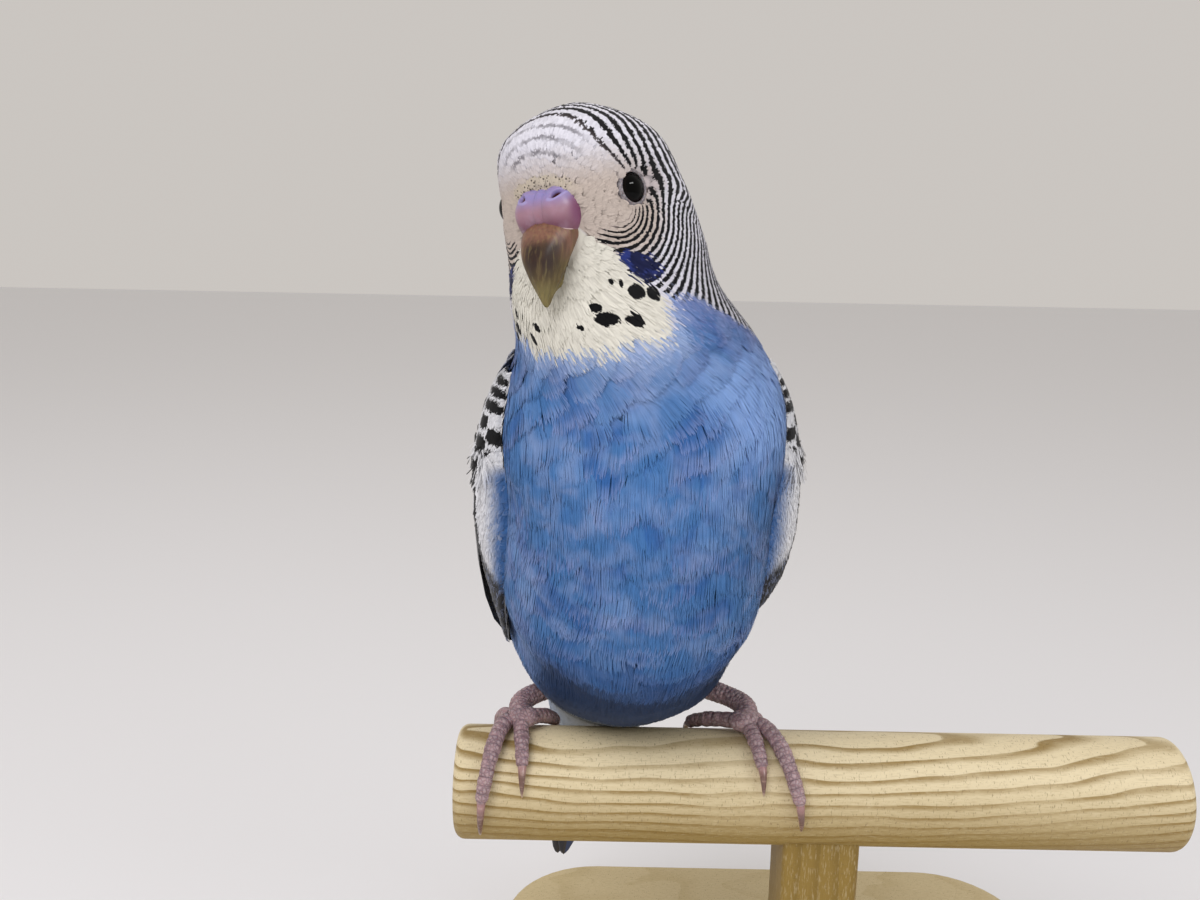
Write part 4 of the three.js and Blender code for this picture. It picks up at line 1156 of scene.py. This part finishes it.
def tail_feather(pile, offset, drop, spread, length, width, point, roll, seed, lift, cell, rows):
    dip = math.radians(TAIL_DIP)
    back = np.array([0, math.cos(dip), -math.sin(dip)])
    up = np.array([0, math.sin(dip), math.cos(dip)])
    bent = turn_matrix(up, spread) @ turn_matrix((1, 0, 0), lift)
    along = turn_matrix((0, 0, 1), TAIL_TURN) @ bent @ back
    face = turn_matrix((0, 0, 1), TAIL_TURN + BODY_TURN) @ bent @ up
    start = np.array([offset, *TAIL_ROOT]) - up * drop

    def path(t):
        points = start + along * length * np.asarray(t)[:, None]
        return posed(points, np.zeros(len(points)))

    out = lambda t: np.tile(face, (len(t), 1))
    vane(pile, path, out, width, roll, point, rows, cell, seed, 0.4, 0.1)


def make_tail(finishes, rng):
    piles = {kind: Pile() for kind in finishes}
    for n in range(TAIL_PAIRS):
        u = n / (TAIL_PAIRS - 1)
        length, width = mix(*TAIL_LENGTHS, u**0.8), mix(*TAIL_WIDTHS, u)
        for side in (-1, 1):
            offset, drop = side * mix(*TAIL_OFFSETS, u), 1.2 + TAIL_DROP * n + 0.2 * side
            spread, cell = side * mix(*TAIL_SPREADS, u), (2 * n + (side > 0), 2 * TAIL_PAIRS)
            tail_feather(piles["long"], offset, drop, spread, length, width, 1 - u, side * 6,
                         rng.random(), 0, cell, 26)
    for kind, row in TAIL_COVERTS.items():
        for layer in range(COVERT_LAYERS):
            for n in range(COVERT_COUNT):
                u = 2 * n / (COVERT_COUNT - 1) - 1
                drop = row["drop"] + row["sign"] * (0.5 * layer + u * u)
                length = row["length"] * (1 - 0.2 * u * u) * mix(1, 0.55, layer / (COVERT_LAYERS - 1))
                tail_feather(piles[kind], row["apart"] * u, drop, row["spread"] * u, length, row["width"],
                             0.3, 6 * u, rng.random(), row["lift"], (n, COVERT_COUNT), 14)
    for kind, pile in piles.items():
        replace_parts(pile.build(f"tail_{kind}_feathers", finishes[kind], TAIL_SLOTS[kind]), "tail")


# Bill, cere, eyes and lids

# Sections from the root to the tip, as for the body
UPPER_BILL = [
    [-22.6, 90.6, -18.2, 91, 3.5, 0.7],
    [-25.4, 88.1, -18.6, 88, 3.85, 0.68],
    [-27.0, 85.6, -20.2, 84.9, 3.2, 0.64],
    [-27, 83, -21.8, 82.1, 2.05, 0.6],
    [-26.1, 80.6, -23.2, 80.1, 0.95, 0.55],
    [-24.8, 78.6, -24.8, 78.6, 0, 0.5],
]
LOWER_BILL = [
    [-23.4, 84.4, -16.5, 84.4, 1.9, 0.6],
    [-22.8, 82.2, -16.5, 82.2, 1.7, 0.6],
    [-21.8, 80.6, -16.5, 80.6, 1.2, 0.6],
]
LOWER_TONE = 2.6  # the lower mandible is coloured like the upper one this far down
CERE_CENTRE, CERE_RADII = np.array([1.75, -20.9, 90.7]), np.array([2.85, 3.5, 3.6])
CERE_BRIDGE = np.array([2.5, 3.35, 3.45])  # the skin between the lobes
CERE_LOWER_EDGE = 88.5
NOSTRIL_AT, NOSTRIL_RADIUS = np.array([2.6, -23.4, 93.0]), 0.4
# The lid ring's own section: distance from the eye's axis and height along it
LID_PROFILE = np.array([[2.02, 1.55], [1.95, 1.84], [2.01, 1.97], [2.14, 2.0],
                        [2.34, 1.92], [2.52, 1.72], [2.58, 1.3], [2.15, 1.25]])
LID_TILT, LID_NARROW = 0.09, 0.08  # the ring rises backwards with the skin, and is higher than wide


def make_bill(name, table, material):
    rows, columns = 48, 56
    table, last = np.array(table, float), len(table) - 1
    pointed = table[-1][4] == 0
    k = last * np.sin(np.linspace(0, 1.56, rows)) if pointed else np.linspace(0, last, rows)
    after = table[-2][[2, 3, 0, 1, 4, 5]] * [1, 1, 1, 1, -1, 1] if pointed else 2 * table[-1] - table[-2]
    table = np.vstack([2 * table[0] - table[1], table, after])
    degrees = np.broadcast_to(np.linspace(0, 360, columns, endpoint=False), (rows, columns))
    flaw = 0.05 * np.sin(np.radians(degrees) * 11 + 0.6 * k[:, None]) * smooth(k, 0, 1)[:, None]
    points = section_point(through(table, k)[:, None].repeat(columns, 1), degrees, flaw)
    ends = points[[0, -1]].mean(1)
    down = np.append(np.broadcast_to(k[:, None], degrees.shape).ravel(), [0, last])
    down = down + (0 if pointed else LOWER_TONE)
    uv = np.stack([np.append(degrees.ravel() / 360, [0.5, 0.5]), down / last], -1)
    pile = Pile()
    pile.add(in_head(np.concatenate([points.reshape(-1, 3), ends])), closed_faces(rows, columns),
             down=down, turn=np.append(signed(degrees).ravel(), [0, 0]), uv=uv)
    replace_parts(pile.build(name + "_horn", material, "horn"), name)


def ball(rows, columns):
    """Unit directions of a ball's grid with its poles along z, and its faces and unwrap."""
    up = np.linspace(-np.pi / 2, np.pi / 2, rows + 2)[1:-1, None]
    around = circle(columns)[None]
    grid = np.stack([np.cos(up) * np.cos(around), np.cos(up) * np.sin(around), np.sin(up) + 0 * around], -1)
    ways = np.concatenate([grid.reshape(-1, 3), [[0, 0, -1], [0, 0, 1]]])
    uv = np.stack([np.arctan2(ways[:, 1], ways[:, 0]) / (2 * np.pi) + 0.5, ways[:, 2] / 2 + 0.5], -1)
    return ways, closed_faces(rows, columns), uv


def make_cere(material):
    """Two soft lobes of bare skin with a slit nostril high in each, and a thin pale lower rim."""
    pile = Pile()
    for side in (-1, 0, 1):
        way, faces, uv = ball(90, 120)
        mirror = np.array([side, 1, 1])
        blunt = unit(np.sign(way) * np.abs(way) ** 0.9)
        points = CERE_CENTRE * mirror + blunt * (CERE_RADII if side else CERE_BRIDGE)
        offset = (points - NOSTRIL_AT * mirror) * mirror
        offset[:, 0] += 9 * (side == 0)
        slant = offset[:, 2] - 0.35 * offset[:, 0]
        gap = np.hypot(offset[:, 0] / 1.5, slant) / NOSTRIL_RADIUS
        front = smooth(-way[:, 1], 0.1, 0.4)
        # hole: the sunk nostril opening, painted dark as the shade inside it
        hole = np.exp(-(gap**4)) * front
        pit = np.exp(-(((gap - 1.75) / 0.6) ** 2)) * front * smooth(-slant, -0.2, 0.4)
        wave = 0.25 * np.sin(points[:, 0] * side * 1.3 - 0.4)
        low = points[:, 2] - CERE_LOWER_EDGE - wave
        rim = np.exp(-((low / 0.14) ** 2)) * front
        rise = 0.03 * pit - 1.1 * hole + 0.08 * rim - 0.5 * smooth(-low, 0, 0.8)
        rise += 0.05 * np.sin(points[:, 0] * 2.3 + points[:, 2] * 1.7) * front
        points = points + unit(blunt / CERE_RADII) * rise[:, None]
        values = {"height": points[:, 2], "edge": np.abs(points[:, 0]), "pit": pit, "hole": hole, "rim": rim}
        pile.add(in_head(points), faces, **values, uv=uv)
    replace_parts(pile.build("cere_skin_lobes", material, "cere_skin"), "cere")


def eye_frame(side):
    """The axes of an eye, its third one looking out, before the head is turned."""
    centre, axis = eye_place(side)
    across = unit(np.cross([0, 0, 1], axis))
    return centre, np.stack([across, np.cross(axis, across), axis])


def make_eye(name, side, material):
    centre, axes = eye_frame(side)
    way, faces, uv = ball(48, 64)
    bulge = 1 + 0.02 * smooth(way[:, 2], 0.4, 1)
    pile = Pile()
    pile.add(in_head(centre + EYE_RADIUS * (way * bulge[:, None]) @ axes), faces, out=way[:, 2], uv=uv)
    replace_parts(pile.build(f"eyeball_{name}", material, "eye"), f"eye_{name}")


def make_lid(name, side, material, rng):
    """The ring of bare lid skin, in fine folds round the opening."""
    centre, axes = eye_frame(side)
    columns = 120
    around = circle(columns)
    closed = np.vstack([LID_PROFILE, LID_PROFILE[0]])
    share = np.linspace(0, len(LID_PROFILE), 33)[:-1]
    profile = np.stack([np.interp(share, range(len(closed)), closed[:, i]) for i in (0, 1)], -1)
    fold = 0.03 * np.sin(share * 2.6)[:, None] + 0.02 * np.sin(around * 34 + rng.random() * 6)[None]
    radius, height = profile[:, :1] + fold * 0.5, profile[:, 1:] + fold
    wide, high = radius * (1 - LID_NARROW) * np.cos(around), radius * (1 + 0.3 * LID_NARROW) * np.sin(around)
    local = np.stack([wide, high, height + side * LID_TILT * wide], -1)
    faces = grid_faces(len(profile) + 1, columns) % (len(profile) * columns)
    uv = np.stack(np.meshgrid(around / (2 * np.pi), share / len(LID_PROFILE)), -1)
    pile = Pile()
    pile.add(in_head(centre + local.reshape(-1, 3) @ axes), [faces], uv=uv.reshape(-1, 2))
    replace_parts(pile.build(f"eyelid_ring_{name}", material, "lid_skin"), f"eyelid_{name}")


# Legs, toes and claws

# Each shank bends from the thigh to the palm; places of its curve
LEGS = [
    {"name": "right", "side": -1, "palm": (-17.0, 0.6),
     "shank": [(-8.5, 10.5, 14.5), (-11.5, 8, 12.2), (-20, 5.5, 13)]},
    {"name": "left", "side": 1, "palm": (18.7, 0.6),
     "shank": [(9.5, 10.5, 14.5), (13.5, 8, 12), (21.5, 5.5, 13.2)]},
]
SHANK_RADII, PALM_RADII, PALM_LIFT = (1.9, 1.6, 1.8), (2.6, 2.2, 1.75), 1.75
# Runs along the dowel from the palm; angles from its top at the root, the end and the claw's tip
TOES = [
    {"name": "outer_front", "radii": (1.35, 1.0), "scutes": 12,
     "right": ((2.3, 5.6), (0, 79, 122)), "left": ((2.2, 7.7), (0, 76, 108))},
    {"name": "inner_front", "radii": (1.3, 0.95), "scutes": 8,
     "right": ((0.4, -0.5), (2, 49, 77)), "left": ((0.2, 2.0), (2, 46, 72))},
    {"name": "outer_back", "radii": (1.3, 0.95), "scutes": 12,
     "right": ((2.0, 5.2), (-8, -84, -108)), "left": ((1.4, 4.0), (-8, -84, -108))},
    {"name": "inner_back", "radii": (1.3, 1.0), "scutes": 7,
     "right": ((-1.3, -5.0), (-12, -44, -70)), "left": ((-1.3, -8.4), (-12, -40, -66))},
]
CLAW_RADIUS, CLAW_ARCH = 0.66, 0.9
TOE_SIDES, CLAW_SIDES = 28, 20


def on_perch(x, degrees, height):
    angle, reach = np.radians(degrees), PERCH_RADIUS + height
    return np.stack([x + 0 * angle, -reach * np.sin(angle), reach * np.cos(angle)], -1)


def tube(pile, path, radius, up, t, **values):
    """A closed tube along path; radius is given for each ring and side."""
    centre = path(t)
    along = unit(path(t + 1e-3) - path(t - 1e-3))
    across = unit(np.cross(along, up(t)))
    rise = np.cross(across, along)
    around = circle(radius.shape[1])
    spokes = np.cos(around)[None, :, None] * rise[:, None] + np.sin(around)[None, :, None] * across[:, None]
    points = centre[:, None] + radius[..., None] * spokes
    points = np.concatenate([points.reshape(-1, 3), np.stack([centre[0], centre[-1]])])
    filled = {}
    for name, value in values.items():
        filled[name] = np.concatenate([(value + 0 * radius).ravel(), [value.flat[0], value.flat[-1]]])
    uv = np.stack(np.meshgrid(around / (2 * np.pi), t), -1).reshape(-1, 2)
    pile.add(points, closed_faces(*radius.shape), **filled, uv=np.vstack([uv, [[0.5, 0], [0.5, 1]]]))


def make_toe(leg, toe, material):
    (near, far), (start, end, _) = toe[leg["name"]]
    size = lambda t: mix(*toe["radii"], t)
    away = lambda t: mix(near, far, np.maximum(t, 0) ** 0.65)
    path = lambda t: on_perch(leg["palm"][0] + leg["side"] * away(t), mix(start, end, t), GAP + size(t))
    up = lambda t: on_perch(0 * t, mix(start, end, t), 1 - PERCH_RADIUS)
    t = np.linspace(0, 1.03, toe["scutes"] * 10 + 6)
    share = (t * toe["scutes"]) % 1
    top = smooth(np.cos(circle(TOE_SIDES)[None]), -0.35, 0.1)
    step = 0.1 * np.sin(np.pi * share) ** 0.6 - 0.05
    pads = 0.05 * np.sin(t * toe["scutes"] * 4)[:, None] * (1 - top)
    knuckle = 0.1 * np.exp(-(((t - 0.45) / 0.1) ** 2)) + 0.08 * np.exp(-(((t - 0.8) / 0.08) ** 2))
    close = np.sqrt(np.clip(1 - ((t - 0.97) / 0.065).clip(0, 1) ** 2, 0.02, 1))
    radius = size(t)[:, None] * (0.97 + step[:, None] * top + pads + knuckle[:, None]) * close[:, None]
    pile = Pile()
    tube(pile, path, radius, up, t, rim=mix(0.5, np.sin(np.pi * share[:, None]), top))
    name = f"{toe['name']}_toe_{leg['name']}"
    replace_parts(pile.build(name + "_scutes", material, "leg_skin"), name)


def make_claw(leg, toe, material):
    (near, far), (_, end, tip) = toe[leg["name"]]
    x, drift = leg["palm"][0] + leg["side"] * far, leg["side"] * (far - near) / 9
    arch = lambda t: CLAW_ARCH * np.sin(np.pi * t.clip(0, 1)) * 0.6 + mix(CLAW_RADIUS + 0.15, 0.12, t)
    path = lambda t: on_perch(x + drift * t, mix(end, tip, t), GAP + arch(t))
    up = lambda t: on_perch(0 * t, mix(end, tip, t), 1 - PERCH_RADIUS)
    t = np.linspace(-0.04, 1, 36)
    ridge = np.cos(circle(CLAW_SIDES)[None])
    keel = 1 - 0.14 * smooth(-ridge, 0.3, 1)
    radius = (CLAW_RADIUS * (1 - t.clip(0, 1)) ** 0.7 + 0.05)[:, None] * keel
    pile = Pile()
    tube(pile, path, radius, up, t, along=t[:, None], ridge=ridge)
    name = f"{toe['name']}_claw_{leg['name']}"
    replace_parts(pile.build(name + "_horn", material, "claw"), name)


def make_tarsus(leg, material):
    palm = np.array([*leg["palm"], PERCH_RADIUS + GAP + PALM_LIFT])
    bends = [np.array(place) for place in leg["shank"]] + [palm]
    shares = lambda t: [(1 - t) ** 3, 3 * (1 - t) ** 2 * t, 3 * (1 - t) * t**2, t**3]
    path = lambda t: sum(share[:, None] * place for share, place in zip(shares(t), bends))
    up = lambda t: np.tile([0, 1.0, 0], (len(t), 1))
    t = np.linspace(0, 1, 70)
    around = circle(TOE_SIDES)[None]
    size = np.interp(t, [0, 0.5, 1], SHANK_RADII)[:, None]
    cells = 0.035 * np.cos(around * 7 + 3.1 * np.floor(t * 20)[:, None])
    cells = cells + 0.03 * np.cos(t * 20 * 2 * np.pi)[:, None]
    pile = Pile()
    tube(pile, path, size * (1 + cells), up, t, rim=0.5 + 8 * cells)
    way, faces, uv = ball(40, 56)
    bumps = 0.035 * np.sin(way[:, 0] * 17) * np.sin(way[:, 1] * 15 + 1) * np.sin(way[:, 2] * 16)
    pile.add(palm + way * (1 + bumps[:, None]) * PALM_RADII, faces, rim=0.5 + 6 * bumps, uv=uv)
    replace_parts(pile.build(f"tarsus_{leg['name']}_skin", material, "leg_skin"), f"tarsus_{leg['name']}")


# Wooden stand

PERCH_SIDES, PERCH_ROWS, EDGE_STEPS = 96, 40, 7


def make_perch(material):
    corner = np.linspace(0, np.pi / 2, EDGE_STEPS)
    end_x = PERCH_EDGE * (1 - np.sin(corner))
    end_r = PERCH_RADIUS - PERCH_EDGE * (1 - np.cos(corner))
    shaft = np.linspace(PERCH_EDGE, PERCH_LENGTH - PERCH_EDGE, PERCH_ROWS)[1:-1]
    x = np.concatenate([end_x[::-1], shaft, PERCH_LENGTH - end_x])
    r = np.concatenate([end_r[::-1], np.full(len(shaft), PERCH_RADIUS), end_r])[:, None]
    around = circle(PERCH_SIDES)
    grid = np.stack([x[:, None] + PERCH_LEFT + 0 * around, r * np.cos(around), r * np.sin(around)], -1)
    ends = [[PERCH_LEFT, 0, 0], [PERCH_LEFT + PERCH_LENGTH, 0, 0]]
    uv = np.stack(np.meshgrid(around / (2 * np.pi), x / PERCH_LENGTH), -1).reshape(-1, 2)
    pile = Pile()
    faces = closed_faces(len(x), PERCH_SIDES)
    pile.add(np.concatenate([grid.reshape(-1, 3), ends]), faces, uv=np.vstack([uv, [[0, 0], [1, 1]]]))
    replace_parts(pile.build("perch_dowel", material, "pine"), "perch")


def rounded_outline(long, wide, corner, steps):
    points = []
    for sx, sy, start in ((1, 1, 0), (-1, 1, 90), (-1, -1, 180), (1, -1, 270)):
        angle = np.radians(start + np.linspace(0, 90, steps))
        centre = np.array([sx * (long / 2 - corner), sy * (wide / 2 - corner)])
        points.append(centre + corner * np.stack([np.cos(angle), np.sin(angle)], -1))
    return np.concatenate(points)


def make_board(name, node, size, corner, centre, bottom, edge, material):
    """A block with rounded corners and softened edges, its underside at bottom."""
    long, wide, thick = size
    turns = np.linspace(0, np.pi / 2, 5)
    rings = [(edge * (1 - np.sin(angle)), edge * (1 - np.cos(angle))) for angle in turns]
    rings = rings + [(inset, thick - rise) for inset, rise in reversed(rings)]
    grid = []
    for inset, z in rings:
        outline = rounded_outline(long - 2 * inset, wide - 2 * inset, max(corner - inset, 0.05), 12)
        grid.append(np.column_stack([outline + centre, np.full(len(outline), bottom + z)]))
    faces = closed_faces(len(grid), len(grid[0]))
    points = np.concatenate([*grid, [[*centre, bottom], [*centre, bottom + thick]]])
    pile = Pile()
    pile.add(points, faces, uv=(points[:, :2] - centre) / (long + thick) + 0.5)
    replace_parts(pile.build(name, material, "pine"), node)


# The coat

COAT_PIECES = {
    "coat_crown": ((SKIN_STARTS, 1.9), 13, {}),
    "coat_face": ((1.9, 2.9), 13, {}),
    "coat_throat": ((2.9, 4.15), 30, {"fray": 0.14, "even": 0.95, "thick": 1.1}),
    "coat_breast": ((4.15, 7.2), 84, {"even": 0.95, "loose": 0.006, "thick": 1.15}),
    "coat_belly": ((7.2, 10.6), 84, {"even": 0.95, "loose": 0.006, "thick": 1.15}),
    "coat_vent": ((10.6, 14.5), 60, {"even": 0.95, "loose": 0.006, "thick": 1.2}),
}  # sections from and to, barbs of a tuft, and how they lie
CROWDING, LEAST_GAP, BROAD, TRIES = 0.34, 0.5, 0.8, 120000
# Sections and angles, the section from which the front draws back, and how fast
UNDER_WING = {"from": 6.4, "to": 13, "front": 92, "back": 166, "draws": 8.8, "by": 8.3}
FACE_TUFT, HEAD_TUFT, THROAT_TUFT, BODY_TUFT = 1.5, 2.9, 4.6, 9.0  # lengths


def grows(k, degrees):
    """Where feathers grow: not on the bill, round the eyes or under the wings."""
    local, side = skin_local(k, degrees), np.abs(signed(degrees))
    bill = (np.hypot(local[:, 0] / 4.5, (local[:, 2] - 89) / 5) < 1) & (local[:, 1] < -14)
    front = UNDER_WING["front"] + np.maximum(k - UNDER_WING["draws"], 0) * UNDER_WING["by"]
    wing = (side > front) & (side < UNDER_WING["back"]) & (k > UNDER_WING["from"]) & (k < UNDER_WING["to"])
    return ~bill & (gap_to_eye(local) > EYE_OPENING) & ~wing


def tuft_sizes(k, degrees):
    local = skin_local(k, degrees)
    length = mix(FACE_TUFT, HEAD_TUFT, smooth(distance(local, FACE), 5, 14))
    length = length * mix(0.45, 1, smooth(gap_to_eye(local), EYE_OPENING, 5.5))
    length = mix(length, THROAT_TUFT, smooth(k, 2.5, 3.6) * smooth(-np.abs(degrees), -75, -45))
    length = mix(length, BODY_TUFT, smooth(k, 4.1, 5.2))
    return length * mix(1, 0.5, smooth(k, 12.5, 14.5))


def make_coat(name, span, barbs, lie_of, material, rng):
    low, high = span
    gap = lambda k, degrees: np.maximum(CROWDING * tuft_sizes(k, degrees), LEAST_GAP)
    inside = lambda k, degrees: (k >= low) & (k < high) & grows(k, degrees)
    k, degrees = scatter(gap, inside, TRIES, rng)
    length = tuft_sizes(k, degrees) * rng.normal(1, 0.08, len(k)).clip(0.8, 1.2)
    pile = Pile()
    tufts(pile, COAT, roots_at(k, degrees), length, BROAD * length, barbs, coat_depth(k), rng, **lie_of)
    pile.build(name, material, "blue_feather" if low > 4 else "barred_feather")


# Scene

# Lamps: place and target in metres, size, power and colour. Only the window is mirrored in the eye.
AIM = (-0.03, -0.02, 0.1)
LAMPS = {
    "key": ((-0.3, -0.42, 0.7), AIM, (0.5,), 3.3, "#fbfaff"),
    "fill": ((0.5, -0.45, 0.3), AIM, (0.5,), 1.2, "#f4f7ff"),
    "window": ((0.335, -0.33, 0.53), (-0.036, -0.034, 0.164), (0.26, 0.06), 1.6, "#ffffff"),
}
FLOOR_HALF = 2


def make_floor(material):
    points = [(x * FLOOR_HALF, y * FLOOR_HALF, 0) for x, y in ((-1, -1), (1, -1), (1, 1), (-1, 1))]
    mesh = bpy.data.meshes.new("floor")
    mesh.from_pydata(points, [], [(0, 1, 2, 3)])
    mesh.materials.append(material)
    floor = bpy.data.objects.new("floor", mesh)
    bpy.context.scene.collection.objects.link(floor)


def make_lamp(name, place, target, size, power, colour):
    """A soft lamp, round or oblong. Only an oblong one is mirrored, and it lights nothing else."""
    lamp = bpy.data.lights.new(name, "AREA")
    oblong = len(size) > 1
    lamp.shape, lamp.size = "RECTANGLE" if oblong else "DISK", size[0]
    if oblong:
        lamp.size_y = size[1]
    lamp.energy, lamp.color = power, linear(colour)[:3]
    light = bpy.data.objects.new(name, lamp)
    light.visible_glossy, light.visible_diffuse = oblong, not oblong
    light.location = place
    light.rotation_euler = (Vector(target) - Vector(place)).to_track_quat("-Z", "Y").to_euler()
    bpy.context.scene.collection.objects.link(light)


def make_world(colour, strength):
    world = bpy.data.worlds.new("studio")
    world.use_nodes = True
    background = world.node_tree.nodes["Background"]
    background.inputs["Color"].default_value = linear(colour)
    background.inputs["Strength"].default_value = strength
    bpy.context.scene.world = world


def make_camera():
    pitch, roll = math.radians(CAMERA_PITCH), math.radians(CAMERA_ROLL)
    ahead = Vector((0, math.cos(pitch), -math.sin(pitch)))
    level_up = Vector((0, math.sin(pitch), math.cos(pitch)))
    right = math.cos(roll) * Vector((1, 0, 0)) + math.sin(roll) * level_up
    up = -math.sin(roll) * Vector((1, 0, 0)) + math.cos(roll) * level_up
    lens = bpy.data.cameras.new("camera")
    lens.sensor_width = 36
    lens.lens = 36 * CAMERA_FOCUS / IMAGE_WIDTH
    lens.clip_start = 0.01
    camera = bpy.data.objects.new("camera", lens)
    axes = Matrix((right, up, -ahead)).transposed().to_4x4()
    camera.matrix_world = Matrix.Translation(world(CAMERA_AT)) @ axes
    bpy.context.scene.collection.objects.link(camera)
    bpy.context.scene.camera = camera


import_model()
rng = np.random.default_rng(SEED)
bpy.context.scene.view_settings.view_transform = "Standard"

feathers = plumage()
make_skin(feathers)
for name, (span, barbs, lie_of) in COAT_PIECES.items():
    make_coat(name, span, barbs, lie_of, feathers, rng)

wing_finishes = {
    "flight": vane_finish("flight_feather_vanes", "#191b22", "#b9bec6", 0.4, "#27324b"),
    "covert": vane_finish("long_covert_vanes", "#18181d", "#d8d9dc", 1.2),
    "lesser": vane_finish("barred_covert_vanes", "#161519", "#dcdcde", 1.15),
}
front = front_finish()
for name, side in (("wing_left", 1), ("wing_right", -1)):
    make_wing(name, side, wing_finishes, rng)
    make_wing_front(name, side, front, rng)
tail_finishes = {
    "long": vane_finish("tail_feather_vanes", "#20263c", "#1a1d2b", 0.3, "#2b4274"),
    "above": vane_finish("tail_covert_vanes_blue", "#4f7fc4", "#6d97d4", 0.6),
    "below": vane_finish("tail_covert_vanes_pale", "#7fa0d0", "#b9c7da", 0.8),
}
make_tail(tail_finishes, rng)

horn = horn_finish()
make_bill("upper_mandible", UPPER_BILL, horn)
make_bill("lower_mandible", LOWER_BILL, horn)
make_cere(cere_finish())
eye_material, lid_material = eye_finish(), lid_finish()
for name, side in (("left", 1), ("right", -1)):
    make_eye(name, side, eye_material)
    make_lid(name, side, lid_material, rng)
leg_material, claw_material = leg_finish(), claw_finish()
for leg in LEGS:
    make_tarsus(leg, leg_material)
    for toe in TOES:
        make_toe(leg, toe, leg_material)
        make_claw(leg, toe, claw_material)

# The dowel's fifth colour is painted shade on its underside; the rod and the board repeat their light colour
# there, so they carry none
DOWEL_WOOD = wood_finish("pine_dowel", 0, (0.035, 0.0008), 1.8, "#dccda8", "#9c8349", "#8a6f34")
ROD_WOOD = wood_finish("pine_rod", math.pi / 2, (0.01, 0.0001), 3.1, "#8b7133", "#8b7133", "#705820", 0.5)
BASE_WOOD = wood_finish("pine_board", 0, (0.09, 0.0002), 1.6, "#cbb98f", "#cbb98f", "#b29c69", 0.35)
rod_size = ROD_SIDE, ROD_SIDE, FLOOR_DROP - BASE_SIZE[2] - GAP - ROD_BELOW
make_perch(DOWEL_WOOD)
make_board("stand_rod_post", "stand_rod", rod_size, 0.8, np.array([ROD_X, 0]),
           BASE_SIZE[2] + GAP - FLOOR_DROP, 0.5, ROD_WOOD)
make_board("stand_base_board", "stand_base", BASE_SIZE, BASE_CORNER, np.array(BASE_CENTRE),
           -FLOOR_DROP, 1.0, BASE_WOOD)

make_floor(finish("studio_floor", Base_Color="#ececee", Roughness=0.8))
make_world("#d2cdc8", 0.92)
for name, lamp in LAMPS.items():
    make_lamp(name, *lamp)
make_camera()
